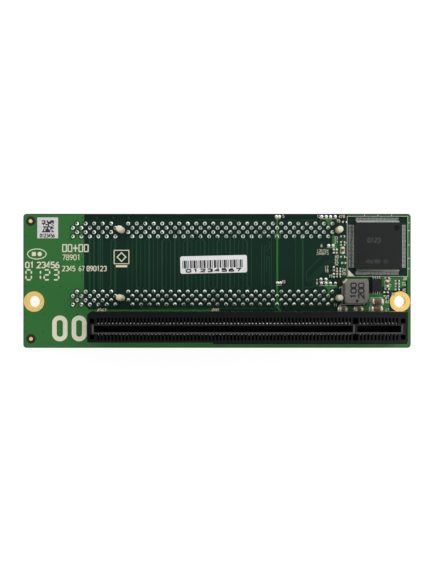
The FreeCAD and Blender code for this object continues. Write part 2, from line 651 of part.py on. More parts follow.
def build_inductor():
    """The power inductor's pressed body, bevelled at the two corners over its terminals."""
    middle_x = f"({BOARD_HALF} - Sizes.inductor_in)"
    body = new_body("power_inductor", middle_x, "Sizes.inductor_y", FRONT)
    half_x = "Sizes.inductor_length / 2"
    half_y = "Sizes.inductor_width / 2"
    outline = flat_sketch(body, "inductor_outline")
    rectangle(outline, f"-{half_x}", f"-{half_y}", half_x, half_y)
    pad(body, outline, "Sizes.inductor_height")
    soften(body, "Chamfer", "Sizes.inductor_corner",
           lambda edge: is_upright(edge) and edge.CenterOfMass.x * edge.CenterOfMass.y < 0)
    soften(body, "Fillet", "Sizes.inductor_round",
           lambda edge: is_upright(edge) and edge.CenterOfMass.x * edge.CenterOfMass.y > 0
           and abs(abs(edge.CenterOfMass.x) - value(half_x)) < 1e-6
           and abs(abs(edge.CenterOfMass.y) - value(half_y)) < 1e-6)
    top = value("Sizes.inductor_height")
    soften(body, "Chamfer", "Sizes.inductor_edge", lambda edge: lies_at(edge, top))

    cut = value("Sizes.inductor_corner")
    span = value("Sizes.terminal_length")
    out = value("Sizes.terminal_width")
    corner_x = value(half_x) - cut / 2
    corner_y = value(half_y) - cut / 2
    plate = Part.makeBox(span, out, value("Sizes.terminal_height"), FreeCAD.Vector(-span / 2, 0, 0))
    plate.rotate(FreeCAD.Vector(0, 0, 0), FreeCAD.Vector(0, 0, 1), 45)
    x = value(middle_x)
    y = value("Sizes.inductor_y")
    level = value(FRONT)
    upper = plate.copy()
    upper.translate(FreeCAD.Vector(x - corner_x, y + corner_y, level))
    plate.rotate(FreeCAD.Vector(0, 0, 0), FreeCAD.Vector(0, 0, 1), 180)
    plate.translate(FreeCAD.Vector(x + corner_x, y - corner_y, level))
    group("power_inductor_terminals", [upper, plate])


def build_regulator():
    """The regulator chip and the leads along its two short sides."""
    middle_x = f"({BOARD_HALF} - Sizes.regulator_in)"
    body = new_body("regulator_chip", middle_x, "Sizes.regulator_y", FRONT)
    half_x = "Sizes.regulator_length / 2"
    half_y = "Sizes.regulator_width / 2"
    outline = flat_sketch(body, "regulator_outline")
    rectangle(outline, f"-{half_x}", f"-{half_y}", half_x, half_y)
    pad(body, outline, "Sizes.regulator_height")
    top = value("Sizes.regulator_height")
    soften(body, "Chamfer", "Sizes.regulator_edge", lambda edge: lies_at(edge, top))

    width = value("Sizes.regulator_lead_width")
    reach = value("Sizes.regulator_lead_length")
    pitch = value("Sizes.regulator_pitch")
    total = count("regulator_lead_count")
    corner = FreeCAD.Vector(-width / 2, value(half_y), 0)
    lead = Part.makeBox(width, reach, value("Sizes.regulator_lead_height"), corner)
    x = value(middle_x)
    y = value("Sizes.regulator_y")
    level = value(FRONT)
    solids = []
    for index in range(total):
        shift = (index - (total - 1) / 2) * pitch
        solids.append(moved(lead, x + shift, y, level))
        solids.append(moved(lead, x + shift, y, level, 180))
    group("regulator_leads", solids)


def build_chip_parts():
    """Every chip capacitor and resistor on the front, each a block with its ends plated."""
    level = value(FRONT)
    board_end = value(BOARD_HALF)
    for label, (length, width, height), places in (
        ("chip_resistors", SMALL_CHIP, RESISTORS),
        ("small_capacitors", SMALL_CHIP, SMALL_CAPACITORS),
        ("middle_capacitors", MIDDLE_CHIP, MIDDLE_CAPACITORS),
        ("medium_capacitors", MEDIUM_CHIP, MEDIUM_CAPACITORS),
        ("large_capacitors", LARGE_CHIP, LARGE_CAPACITORS),
    ):
        block = Part.makeBox(length, width, height, FreeCAD.Vector(-length / 2, -width / 2, 0))
        group(label, [moved(block, board_end + x, y, level, turn) for x, y, turn in places])


def build_labels():
    """The two stickers on the board's front."""
    square = document.addObject("Part::Box", "square_label")
    square.Label = "square_label"
    for side in ("Length", "Width"):
        square.setExpression(side, "Sizes.square_label_side * 1 mm")
    square.setExpression("Height", "Sizes.label_thickness * 1 mm")
    half = "Sizes.square_label_side / 2"
    middle_x = f"(Sizes.square_label_in - {BOARD_HALF})"
    place(square, f"{middle_x} - {half}", f"Sizes.square_label_y - {half}", FRONT)

    label = new_body("long_label", "Sizes.long_label_x", "Sizes.long_label_y", FRONT, "Sizes.long_label_turn")
    outline = flat_sketch(label, "long_label_outline")
    half_x = "Sizes.long_label_length / 2"
    half_y = "Sizes.long_label_width / 2"
    rectangle(outline, f"-{half_x}", f"-{half_y}", half_x, half_y)
    pad(label, outline, "Sizes.label_thickness")
    soften(label, "Chamfer", "Sizes.long_label_corner", is_upright)


build_board()
build_mounting_rings()
for side in ("upper", "lower"):
    build_pci_slot(side)
    build_pci_contacts(side)
    build_pci_joints(side)
build_pcie_housing()
build_pcie_contacts()
build_pcie_joints()
build_bridge_chip()
build_bridge_leads()
build_inductor()
build_regulator()
build_chip_parts()
build_labels()
document.recompute()

for item in document.Objects:
    if "Invalid" in item.State or "Error" in item.State:
        raise RuntimeError(f"{item.Name} failed: {item.State}")

PIECES = ("PartDesign::Body", "Part::Feature", "Part::Box")
pieces = [item for item in document.Objects if item.TypeId in PIECES]
for piece in pieces:
    if piece.Shape.isNull() or not piece.Shape.isValid():
        raise RuntimeError(f"{piece.Label} has no valid shape")

os.makedirs("parts", exist_ok=True)
for piece in pieces:
    piece.Shape.exportStep(f"parts/{piece.Label}.step")
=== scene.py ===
import math
import random

import bmesh
import bpy
from bpy.props import FloatProperty, FloatVectorProperty, PointerProperty
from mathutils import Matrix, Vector


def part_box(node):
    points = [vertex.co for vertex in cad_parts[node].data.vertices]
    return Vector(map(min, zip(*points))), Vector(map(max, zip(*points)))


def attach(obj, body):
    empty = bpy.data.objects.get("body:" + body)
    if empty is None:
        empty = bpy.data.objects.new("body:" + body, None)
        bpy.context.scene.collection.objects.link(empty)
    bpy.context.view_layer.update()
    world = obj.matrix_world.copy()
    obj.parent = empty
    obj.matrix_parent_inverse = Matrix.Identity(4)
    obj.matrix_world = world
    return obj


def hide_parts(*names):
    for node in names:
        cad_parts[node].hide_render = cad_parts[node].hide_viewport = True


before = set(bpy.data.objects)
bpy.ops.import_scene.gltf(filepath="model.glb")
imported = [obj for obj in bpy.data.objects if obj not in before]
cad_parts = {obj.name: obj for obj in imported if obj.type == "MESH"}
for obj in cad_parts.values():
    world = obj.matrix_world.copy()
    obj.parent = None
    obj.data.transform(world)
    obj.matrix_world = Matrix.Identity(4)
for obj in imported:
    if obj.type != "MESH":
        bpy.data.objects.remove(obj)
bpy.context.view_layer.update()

bl_info = {
    "name": "Riser Card Dressing",
    "version": (1, 0, 0),
    "blender": (4, 5, 0),
    "location": "View3D > Sidebar > Riser Card",
    "description": "Dresses a server riser card with copper, print, solder, slots, chips and stickers",
    "category": "Object",
}


def box_of(node):
    """The lowest and the highest corner of a CAD node's box, in millimetres."""
    low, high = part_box(node)
    return Vector(low) * 1000, Vector(high) * 1000


# Levels and outlines of the frame, in millimetres; pieces are drawn in millimetres and built in metres
BOARD_LOW, BOARD_HIGH = box_of("circuit_board")
FRONT = BOARD_HIGH.z
BACK = BOARD_LOW.z
INDUCTOR_LOW, INDUCTOR_HIGH = box_of("power_inductor")
CHIP_HIGH = box_of("bridge_chip")[1]
SLOT_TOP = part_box("pcie_slot_housing")[1][2] * 1000

# Thicknesses of the flat layers on the board and the stickers
COPPER = 0.035
TRACE = 0.029
PRINT = 0.015
LABEL_INK = 0.004

# Flat shapes that may cross differ in height by a few of these, so that no two faces lie in one plane
SLIVER = 1e-5

# Radii of a mounting hole and of the gap in the copper round it, and the places of the fiducial dots
HOLE_BORE = 1.75
HOLE_CLEARANCE = 2.6
FIDUCIALS = ((-55.6, 17.8), (-55.5, -17.3))

# The x16 slot's middle line, and how far the oblong sticker is turned
FRONT_SLOT_Y = -13.5
LABEL_SLANT = 1.3

# Middle of the picture on the board, in metres
CAMERA_X = -0.0009
CAMERA_Y = -0.0014

# Strokes of the ten digits on a grid two wide and four high; one that ends where it starts is a loop
DIGITS = {
    "0": (((0, .6), (0, 3.4), (.6, 4), (1.4, 4), (2, 3.4), (2, .6), (1.4, 0), (.6, 0), (0, .6)),),
    "1": (((.4, 3.2), (1.1, 4), (1.1, 0)),),
    "2": (((0, 3.4), (.6, 4), (1.4, 4), (2, 3.4), (2, 2.6), (0, 0), (2, 0)),),
    "3": (((0, 3.6), (.5, 4), (1.5, 4), (2, 3.5), (2, 2.5), (1.5, 2.1), (2, 1.6), (2, .5), (1.5, 0), (.5, 0),
           (0, .4)),),
    "4": (((1.5, 0), (1.5, 4), (0, 1.2), (2, 1.2)),),
    "5": (((1.9, 4), (.2, 4), (.1, 2.3), (1.4, 2.4), (2, 1.8), (2, .6), (1.4, 0), (.5, 0), (0, .4)),),
    "6": (((1.7, 4), (.7, 3.4), (0, 2), (0, .6), (.6, 0), (1.4, 0), (2, .6), (2, 1.5), (1.4, 2.1),
           (.2, 1.9)),),
    "7": (((0, 4), (2, 4), (.8, 0)),),
    "8": (((.5, 2.1), (0, 2.6), (0, 3.5), (.5, 4), (1.5, 4), (2, 3.5), (2, 2.6), (1.5, 2.1), (.5, 2.1),
           (0, 1.6), (0, .5), (.5, 0), (1.5, 0), (2, .5), (2, 1.6), (1.5, 2.1)),),
    "9": (((.3, 0), (1.3, .6), (2, 2), (2, 3.4), (1.4, 4), (.6, 4), (0, 3.4), (0, 2.5), (.6, 1.9),
           (1.8, 2.1)),),
}


# Colours and materials

def linear(hex_colour):
    """An sRGB hex colour as the four linear numbers that a socket takes."""
    channels = [int(hex_colour[i:i + 2], 16) / 255 for i in (1, 3, 5)]
    return (*[c / 12.92 if c <= 0.04045 else ((c + 0.055) / 1.055) ** 2.4 for c in channels], 1.0)


def add(tree, kind, inputs=None, **settings):
    """Adds a node with its settings; each input is a number, a colour or the socket that feeds it."""
    node = tree.nodes.new(kind)
    for name, setting in settings.items():
        setattr(node, name, setting)
    for name, source in (inputs or {}).items():
        if isinstance(source, bpy.types.NodeSocket):
            tree.links.new(source, node.inputs[name])
        else:
            node.inputs[name].default_value = source
    return node


def start_material(name, colour, roughness, metallic=0.0, ior=None):
    """A material with its constants set, its node tree and its surface shader."""
    material = bpy.data.materials.new(name)
    material.use_nodes = True
    tree = material.node_tree
    surface = tree.nodes["Principled BSDF"]
    surface.inputs["Base Color"].default_value = colour
    surface.inputs["Roughness"].default_value = roughness
    surface.inputs["Metallic"].default_value = metallic
    if ior:
        surface.inputs["IOR"].default_value = ior
    return material, tree, surface


def per_metre(size):
    """How many features of a size in millimetres go into the metre that a texture's scale counts in."""
    return 1000 / size


# Radians of a wave texture's wave in one unit of its scale
WAVE_TURN = 20


def grain(tree, surface, size, detail=2.0, tints=None, sheen=None, relief=None):
    """Lays one unevenness over a surface, its grains some millimetres wide: the two colours and the two
    roughnesses that it runs between, and the strength and the height in millimetres of its relief."""
    place = add(tree, "ShaderNodeTexCoord").outputs["Object"]
    noise = add(tree, "ShaderNodeTexNoise", {"Vector": place, "Scale": per_metre(size), "Detail": detail})
    grains = noise.outputs["Fac"]
    if tints:
        colour = add(tree, "ShaderNodeMix", {"Factor": grains, 6: tints[0], 7: tints[1]}, data_type="RGBA")
        tree.links.new(colour.outputs[2], surface.inputs["Base Color"])
    if sheen:
        gloss = add(tree, "ShaderNodeMapRange", {"Value": grains, "To Min": sheen[0], "To Max": sheen[1]})
        tree.links.new(gloss.outputs["Result"], surface.inputs["Roughness"])
    if relief:
        strength, height = relief[0], relief[1] / 1000
        bump = add(tree, "ShaderNodeBump", {"Height": grains, "Strength": strength, "Distance": height})
        tree.links.new(bump.outputs["Normal"], surface.inputs["Normal"])


def grained(name, colours, roughness, size, detail=2.0, relief=None, metallic=0.0, ior=None):
    """A material with one unevenness, which runs between its two colours and its two roughnesses; one alone
    stays even."""
    tints = [linear(colour) if isinstance(colour, str) else colour for colour in colours]
    sheen = roughness if isinstance(roughness, tuple) else (roughness,)
    material, tree, surface = start_material(name, tints[-1], sheen[-1], metallic, ior)
    grain(tree, surface, size, detail, tints if len(tints) > 1 else None,
          sheen if len(sheen) > 1 else None, relief)
    return material


def laminate_board():
    """Glass epoxy laminate under green solder mask: a satin, slightly uneven film on both faces, through
    which the bare laminate looks dark, and sawn edges that show pale glass cloth in resin."""
    settings = bpy.context.scene.riser_board
    green = settings.mask_colour
    material, tree, surface = start_material("solder_mask_on_glass_epoxy", green, 0.25, ior=1.5)
    place = add(tree, "ShaderNodeTexCoord").outputs["Object"]
    normal = add(tree, "ShaderNodeNewGeometry").outputs["True Normal"]
    up = add(tree, "ShaderNodeSeparateXYZ", {"Vector": normal}).outputs["Z"]
    upright = add(tree, "ShaderNodeMath", {0: up}, operation="ABSOLUTE").outputs["Value"]
    face = add(tree, "ShaderNodeMath", {0: upright, 1: 0.5}, operation="GREATER_THAN").outputs["Value"]
    # The film pools and thins over some 9 mm
    pooling = add(tree, "ShaderNodeTexNoise", {"Vector": place, "Scale": per_metre(9.0), "Detail": 3.0})
    mask = add(tree, "ShaderNodeMix", {
        "Factor": pooling.outputs["Fac"], 6: green, 7: linear("#112c24"),
    }, data_type="RGBA")
    # The copper planes inside the board stop 1.5 mm short of its long edges, and the margin is darker
    across = add(tree, "ShaderNodeSeparateXYZ", {"Vector": place}).outputs["Y"]
    distance = add(tree, "ShaderNodeMath", {0: across}, operation="ABSOLUTE").outputs["Value"]
    margin = add(tree, "ShaderNodeMapRange", {"Value": distance, "From Min": 0.0178, "From Max": 0.0187})
    mask = add(tree, "ShaderNodeMix", {
        "Factor": margin.outputs["Result"], 6: mask.outputs[2], 7: linear("#0b241a"),
    }, data_type="RGBA")
    # The sawn edge shows the layers of glass cloth, which are 0.2 mm thick; that is too fine to show, so they
    # are drawn some 1 mm apart
    cloth = add(tree, "ShaderNodeTexWave", {
        "Vector": place, "Scale": per_metre(0.987) * math.tau / WAVE_TURN, "Distortion": 1.5, "Detail": 1.0,
    }, bands_direction="Z")
    edge = add(tree, "ShaderNodeMix", {
        "Factor": cloth.outputs["Fac"], 6: linear("#6f7a3c"), 7: linear("#3f5a2c"),
    }, data_type="RGBA")
    colour = add(tree, "ShaderNodeMix", {
        "Factor": face, 6: edge.outputs[2], 7: mask.outputs[2],
    }, data_type="RGBA")
    tree.links.new(colour.outputs[2], surface.inputs["Base Color"])
    # The cloth's weave, with threads 0.5 mm apart, and the mask's own unevenness
    weave = add(tree, "ShaderNodeTexChecker", {"Vector": place, "Scale": per_metre(0.5)})
    orange_peel = add(tree, "ShaderNodeTexNoise", {"Vector": place, "Scale": per_metre(0.8), "Detail": 2.0})
    height = add(tree, "ShaderNodeMath", {0: weave.outputs["Fac"], 1: 0.15, 2: orange_peel.outputs["Fac"]},
                 operation="MULTIPLY_ADD")
    bump = add(tree, "ShaderNodeBump", {
        "Height": height.outputs["Value"], "Strength": 0.25, "Distance": 0.00002,
    })
    tree.links.new(bump.outputs["Normal"], surface.inputs["Normal"])
    return material


def mask_on_copper():
    """Green solder mask over copper: the metal throws light back through the film, which looks a clear leaf
    green, with faint clouding from the brushed foil."""
    settings = bpy.context.scene.riser_board
    material, tree, surface = start_material("solder_mask_on_copper", settings.copper_colour, 0.25, ior=1.5)
    grain(tree, surface, 12.0, 4.0, tints=(linear("#2c6a31"), settings.copper_colour))
    grain(tree, surface, 0.6, 3.0, relief=(0.3, 0.02))
    return material


def mask_on_trace():
    """Green solder mask over a narrow trace: little metal under a thick edge of film, so it barely shows."""
    return grained("solder_mask_on_trace", ["#183c2a", "#234b34"], 0.25, 6.0, 3.0, ior=1.5)


def bare_laminate():
    """Glass epoxy laminate with neither copper nor mask, as round a fiducial: nearly black, and matt."""
    material, tree, surface = start_material("bare_glass_epoxy", linear("#101110"), 0.6, ior=1.5)
    place = add(tree, "ShaderNodeTexCoord").outputs["Object"]
    cloth = add(tree, "ShaderNodeTexChecker", {
        "Vector": place, "Scale": per_metre(0.4), "Color1": linear("#0a0b0b"), "Color2": linear("#101110"),
    })
    tree.links.new(cloth.outputs["Color"], surface.inputs["Base Color"])
    bump = add(tree, "ShaderNodeBump", {"Height": cloth.outputs["Fac"], "Strength": 0.3, "Distance": 0.00001})
    tree.links.new(bump.outputs["Normal"], surface.inputs["Normal"])
    return material


def epoxy_ink():
    """Screen-printed epoxy ink: cream, matt and slightly translucent where the screen left it thin."""
    settings = bpy.context.scene.riser_board
    # The screen's mesh leaves the ink uneven every 0.2 mm
    return grained("screen_printed_epoxy_ink", ["#cbc7ad", settings.print_colour], 0.65, 0.2,
                   relief=(0.4, 0.01), ior=1.5)


def immersion_gold():
    """Immersion gold over nickel and copper: a soft, warm sheen with fine scuffs from screw heads."""
    return grained("immersion_gold", ["#eecc78", "#fae39a"], (0.62, 0.78), 0.5, 5.0, metallic=1.0)


def tin_solder():
    """Wave-soldered tin alloy: bright, with a frosted grain where it froze and a little flux haze."""
    material, tree, surface = start_material("wave_soldered_tin", linear("#cfd4cd"), 0.42, 1.0)
    grain(tree, surface, 0.25, 3.0, sheen=(0.2, 0.42), relief=(0.35, 0.02))
    grain(tree, surface, 1.9, 1.0, tints=(linear("#a9aea7"), linear("#cfd4cd")))
    return material


def reflowed_solder():
    """Solder paste melted in the oven: smooth, bright and drawn thin over the pads."""
    return grained("reflowed_solder_paste", ["#cfd2ca", "#f3f5ee"], (0.3, 0.5), 0.4, metallic=1.0)


def plated_end():
    """Matt tin over nickel on a chip part's ends: pale, soft and nearly without a highlight."""
    return grained("matt_tin_end_cap", ["#d4d1bd", "#f2efdf"], (0.62, 0.76), 0.3, 3.0, metallic=1.0)


def cut_pin():
    """The sheared end of a plated contact tail: duller and darker than the solder round it."""
    return grained("sheared_contact_tail", ["#6f6a63"], 0.35, 0.1, relief=(0.4, 0.01), metallic=1.0)


def spring_contact():
    """Phosphor bronze with a gold flash: smooth, pale and bright along its bends."""
    return grained("gold_flashed_phosphor_bronze", ["#d2cfc6"], (0.26, 0.34), 0.3, metallic=1.0)


def tinned_lead():
    """Tin plate over a copper alloy lead: satin grey-white with faint streaks from stamping."""
    return grained("matt_tin_plate", ["#7f857c", "#c4cac0"], 0.4, 0.4, 3.0, metallic=1.0)


def dipped_terminal():
    """A copper terminal dipped in tin: pale with a yellow cast where the copper shows through."""
    return grained("dipped_copper_terminal", ["#ddd09c", "#f6f0d6"], 0.65, 0.5, metallic=1.0)


def cream_plastic():
    """Glass-filled polyester moulded in cream: matt, warm, and a shade browner where it is thick."""
    settings = bpy.context.scene.riser_slots
    cream = settings.cream_colour
    material, tree, surface = start_material("cream_glass_filled_polyester", cream, 0.5, ior=1.55)
    grain(tree, surface, 4.0, 3.0, tints=(linear("#cfc6aa"), cream))
    grain(tree, surface, 0.15, relief=(0.3, 0.01))
    return material


def black_plastic():
    """Glass-filled nylon moulded in black: matt, with short fibres near the skin, and edges that catch the
    light."""
    settings = bpy.context.scene.riser_slots
    return grained("black_glass_filled_nylon", ["#090a0b", settings.black_colour], (0.27, 0.36), 0.35, 4.0,
                   relief=(0.25, 0.02), ior=1.53)


def moulded_epoxy():
    """Silica-filled epoxy of a chip package: near black, dead matt, with a fine sanded grain."""
    settings = bpy.context.scene.riser_parts
    return grained("moulded_silica_epoxy", ["#161718", settings.chip_colour], 0.34, 0.12, 3.0,
                   relief=(0.5, 0.01), ior=1.55)


def ejector_mark():
    """Silica-filled epoxy pressed by the mould's polished ejector pin: black as the package, but glossy."""
    return grained("pin_polished_epoxy", ["#151516"], (0.22, 0.3), 0.3, ior=1.55)


def laser_mark():
    """Laser marking on a chip: the epoxy's skin burnt to a slightly lighter, matt grey."""
    return grained("laser_marked_epoxy", ["#313233", "#48494a"], 0.75, 0.1, ior=1.55)


def pressed_iron():
    """Pressed and coated iron powder: mid grey, matt, speckled by its grains and darker toward its edges."""
    settings = bpy.context.scene.riser_parts
    material, tree, surface = start_material("pressed_iron_powder", settings.iron_colour, 0.55, ior=1.5)
    place = add(tree, "ShaderNodeTexCoord").outputs["Object"]
    cells = add(tree, "ShaderNodeTexVoronoi", {"Vector": place, "Scale": per_metre(0.18)})
    powder = cells.outputs["Distance"]
    colour = add(tree, "ShaderNodeMix", {
        "Factor": powder, 6: settings.iron_colour, 7: linear("#565450"),
    }, data_type="RGBA")
    tree.links.new(colour.outputs[2], surface.inputs["Base Color"])
    bump = add(tree, "ShaderNodeBump", {"Height": powder, "Strength": 0.3, "Distance": 0.00003})
    tree.links.new(bump.outputs["Normal"], surface.inputs["Normal"])
    return material


def black_ink():
    """Thermal or pad-printed black: matt, a little grey where it is thin."""
    return grained("black_print", ["#0b0b0c", "#1d1d1e"], 0.6, 0.3, ior=1.5)


def resistor_glaze():
    """Black overcoat glass on a chip resistor: smooth, slightly domed and glossy."""
    return grained("resistor_overcoat_glass", ["#191a1b"], 0.25, 0.3, relief=(0.3, 0.01), ior=1.52)


def fired_ceramic():
    """Fired barium titanate of a chip capacitor: brown, satin, with fine pores."""
    settings = bpy.context.scene.riser_parts
    return grained("fired_titanate_ceramic", ["#4d3b20", settings.ceramic_colour], 0.4, 0.12, 3.0,
                   relief=(0.3, 0.01), ior=1.6)


def sticker_paper():
    """Coated polyester label stock: white, smooth, with the faintest ripple of its adhesive."""
    return grained("coated_label_stock", ["#d8d8d9", "#e8e8e9"], 0.45, 1.5, relief=(0.3, 0.03), ior=1.5)


def flux_dulled_paper():
    """Uncoated paper label that has been through the solder line: greyer than the late one, and matt."""
    return grained("paper_label_dulled_by_flux", ["#bcbcba", "#d2d2d1"], 0.7, 1.2, 3.0, ior=1.5)


MATERIALS = {}


def material_of(maker):
    """The material that a function above makes, made once."""
    if maker.__name__ not in MATERIALS:
        MATERIALS[maker.__name__] = maker()
    return MATERIALS[maker.__name__]


# Shapes

def offsets(path, half, closed):
    """The two lines that run half a width to the left and right of a path, with mitred corners."""
    left, right = [], []
    count = len(path)
    for index, point in enumerate(path):
        here = Vector(point)
        ahead = behind = None
        if closed or index < count - 1:
            ahead = (Vector(path[(index + 1) % count]) - here).normalized()
        if closed or index:
            behind = (here - Vector(path[index - 1])).normalized()
        ahead = ahead or behind
        behind = behind or ahead
        first = Vector((-behind.y, behind.x))
        mitre = (first + Vector((-ahead.y, ahead.x))).normalized()
        reach = half / max(0.35, mitre.dot(first))
        left.append(here + mitre * reach)
        right.append(here - mitre * reach)
    return left, right


def circle_of(x, y, radius, sides, start=0.0, turn=math.tau):
    """Points round a circle or along an arc, in order; a full circle doesn't repeat its first point."""
    steps = sides if turn == math.tau else sides - 1
    angles = [start + turn * step / steps for step in range(sides)]
    return [(x + radius * math.cos(angle), y + radius * math.sin(angle)) for angle in angles]


def capsule(path, width, facets=5):
    """The outline of a straight or bent stroke with round ends."""
    left, right = offsets(path, width / 2, False)
    outline = [tuple(point) for point in right]
    for point, before in ((path[-1], path[-2]), (path[0], path[1])):
        along = Vector(point) - Vector(before)
        angle = math.atan2(along.y, along.x) - math.pi / 2
        arc = circle_of(point[0], point[1], width / 2, facets + 2, angle, math.pi)
        outline.extend(arc[1:-1])
        if point is path[-1]:
            outline.extend(tuple(place) for place in reversed(left))
    return outline


def rounded_rectangle(x, y, length, width, corner, facets=4):
    """The outline of a rectangle with round corners about its centre."""
    outline = []
    for quarter, (side_x, side_y) in enumerate(((1, 1), (-1, 1), (-1, -1), (1, -1))):
        centre_x = x + side_x * (length / 2 - corner)
        centre_y = y + side_y * (width / 2 - corner)
        outline += circle_of(centre_x, centre_y, corner, facets, quarter * math.pi / 2, math.pi / 2)
    return outline


def turned(points, x, y, degrees):
    """Points on the board turned about a place."""
    cosine, sine = math.cos(math.radians(degrees)), math.sin(math.radians(degrees))
    return [(x + (px - x) * cosine - (py - y) * sine, y + (px - x) * sine + (py - y) * cosine)
            for px, py in points]


class Shell:
    """The faces of one piece, in millimetres, each with the number of its material. Its flat shapes stand
    between a base and a top, and a lift moves the top."""

    def __init__(self, base=0.0, top=0.0):
        self.base = base
        self.top = top
        self.points = []
        self.faces = []
        self.finishes = []

    def add(self, points, faces, finish=0):
        """Adds points and the faces between them."""
        start = len(self.points)
        self.points.extend(points)
        self.faces.extend([start + index for index in face] for face in faces)
        self.finishes.extend([finish] * len(faces))

    def skin(self, rings, finish=0, closed=False, open_start=False):
        """Joins rings of as many points each. Both ends get a flat cap, unless the last ring meets the first
        or the start stays open."""
        count = len(rings[0])
        faces = []
        for row in range(len(rings) if closed else len(rings) - 1):
            low, high = row * count, (row + 1) % len(rings) * count
            for step in range(count):
                following = (step + 1) % count
                faces.append((low + step, low + following, high + following, high + step))
        if not closed and not open_start:
            faces.append(tuple(range(count - 1, -1, -1)))
        if not closed:
            faces.append(tuple(range((len(rings) - 1) * count, len(rings) * count)))
        self.add([point for ring in rings for point in ring], faces, finish)

    def prism(self, outline, finish=0, lift=0.0):
        """A flat outline raised from the base to the top."""
        self.skin([[(x, y, level) for x, y in outline] for level in (self.base, self.top + lift)], finish)

    def lathe(self, x, y, profile, sides, finish=0, closed=False):
        """A profile of radius and level, turned about an upright line."""
        rings = [[(px, py, level) for px, py in circle_of(x, y, radius, sides)] for radius, level in profile]
        self.skin(rings, finish, closed)

    def band(self, path, width, finish=0, lift=0.0):
        """A raised line of even width along a path; a path that ends where it starts is a loop."""
        closed = (Vector(path[0]) - Vector(path[-1])).length < 1e-6
        left, right = offsets(path[:-1] if closed else path, width / 2, closed)
        base, top = self.base, self.top + lift
        rings = [[(*a, base), (*b, base), (*b, top), (*a, top)] for a, b in zip(left, right)]
        self.skin(rings, finish, closed)

    def loop(self, outline, width, finish=0, lift=0.0):
        """A raised line of even width all along an outline."""
        self.band([*outline, outline[0]], width, finish, lift)

    def strip(self, path, width, thickness, place, finish=0):
        """A bent strip: its path lies in a plane of distance and level, and place puts it on the board."""
        left, right = offsets(path, thickness / 2, False)
        rings = []
        for a, b in zip(left, right):
            rings.append([place(a.x, -width / 2, a.y), place(a.x, width / 2, a.y),
                          place(b.x, width / 2, b.y), place(b.x, -width / 2, b.y)])
        self.skin(rings, finish)

    def block(self, corner, far, bevel, finish=0):
        """A block between two opposite corners whose edges are all bevelled."""
        low = [min(pair) for pair in zip(corner, far)]
        high = [max(pair) for pair in zip(corner, far)]
        cut = bevel * 0.7
        rings = []
        for level, inset in ((low[2], bevel), (low[2] + bevel, 0), (high[2] - bevel, 0), (high[2], bevel)):
            left, right = low[0] + inset, high[0] - inset
            near, back = low[1] + inset, high[1] - inset
            rings.append([
                (left + cut, near, level), (right - cut, near, level), (right, near + cut, level),
                (right, back - cut, level), (right - cut, back, level), (left + cut, back, level),
                (left, back - cut, level), (left, near + cut, level),
            ])
        self.skin(rings, finish)

    def number(self, digits, x, y, height, stroke, turn=0, width=0.5):
        """Plain digits from a left end, written along X or turned about it. Width is a share of height."""
        step = height * (width + 0.22)
        for place, digit in enumerate(digits):
            left = x + place * step
            for path in DIGITS[digit]:
                points = [(left + px * height * width / 2, y + py * height / 4) for px, py in path]
                self.band(turned(points, x, y, turn), stroke)

    def build(self, name, makers, smooth=35, weld=False):
        """Makes the object, rides it on the card's one body and gives it its materials. Weld joins its points
        where two faces meet."""
        mesh = bpy.data.meshes.new(name)
        mesh.from_pydata([tuple(c / 1000 for c in point) for point in self.points], [], self.faces)
        for maker in makers:
            mesh.materials.append(material_of(maker))
        mesh.polygons.foreach_set("material_index", self.finishes)
        surface = bmesh.new()
        surface.from_mesh(mesh)
        if weld:
            bmesh.ops.remove_doubles(surface, verts=surface.verts, dist=1e-7)
        bmesh.ops.recalc_face_normals(surface, faces=surface.faces)
        surface.to_mesh(mesh)
        surface.free()
        mesh.shade_smooth()
        mesh.set_sharp_from_angle(angle=math.radians(smooth))
        piece = bpy.data.objects.new(name, mesh)
        bpy.context.scene.collection.objects.link(piece)
        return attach(piece, "root")


def solids_of(node):
    """The box of each separate solid of a CAD node, as its lowest and highest corners in millimetres."""
    mesh = bmesh.new()
    mesh.from_mesh(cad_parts[node].data)
    bmesh.ops.remove_doubles(mesh, verts=mesh.verts, dist=1e-7)
    unseen = set(mesh.verts)
    boxes = []
    while unseen:
        waiting = [unseen.pop()]
        corners = []
        while waiting:
            vertex = waiting.pop()
            corners.append(vertex.co * 1000)
            for edge in vertex.link_edges:
                other = edge.other_vert(vertex)
                if other in unseen:
                    unseen.remove(other)
                    waiting.append(other)
        low = Vector([min(corner[axis] for corner in corners) for axis in range(3)])
        high = Vector([max(corner[axis] for corner in corners) for axis in range(3)])
        boxes.append((low, high))
    mesh.free()
    return sorted(boxes, key=lambda box: tuple(round(c, 3) for c in box[0]))


def middle_of(low, high):
    """Where the middle of a box stands on the board."""
    return (low.x + high.x) / 2, (low.y + high.y) / 2


def dress(node, maker):
    """Gives a CAD node its material; its shape stays as it is."""
    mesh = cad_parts[node].data
    mesh.materials.clear()
    mesh.materials.append(material_of(maker))


# Settings

def colour_setting(name, description, start):
    """A setting for one colour, which starts as an sRGB hex colour."""
    return FloatVectorProperty(
        name=name, description=description, subtype="COLOR", size=4, min=0, max=1, default=linear(start))


class RiserBoardSettings(bpy.types.PropertyGroup):
    """Colours of the board and its print."""

    mask_colour: colour_setting("Mask on Laminate", "Solder mask with no copper under it", "#0e2f20")
    copper_colour: colour_setting("Mask on Copper", "Solder mask over copper", "#347038")
    print_colour: colour_setting("Print", "Screen-printed ink", "#e0dcc4")
    trace_width: FloatProperty(
        name="Trace Width", description="Width of a signal trace",
        subtype="DISTANCE", unit="LENGTH", min=0.0001, max=0.001, default=0.0002)


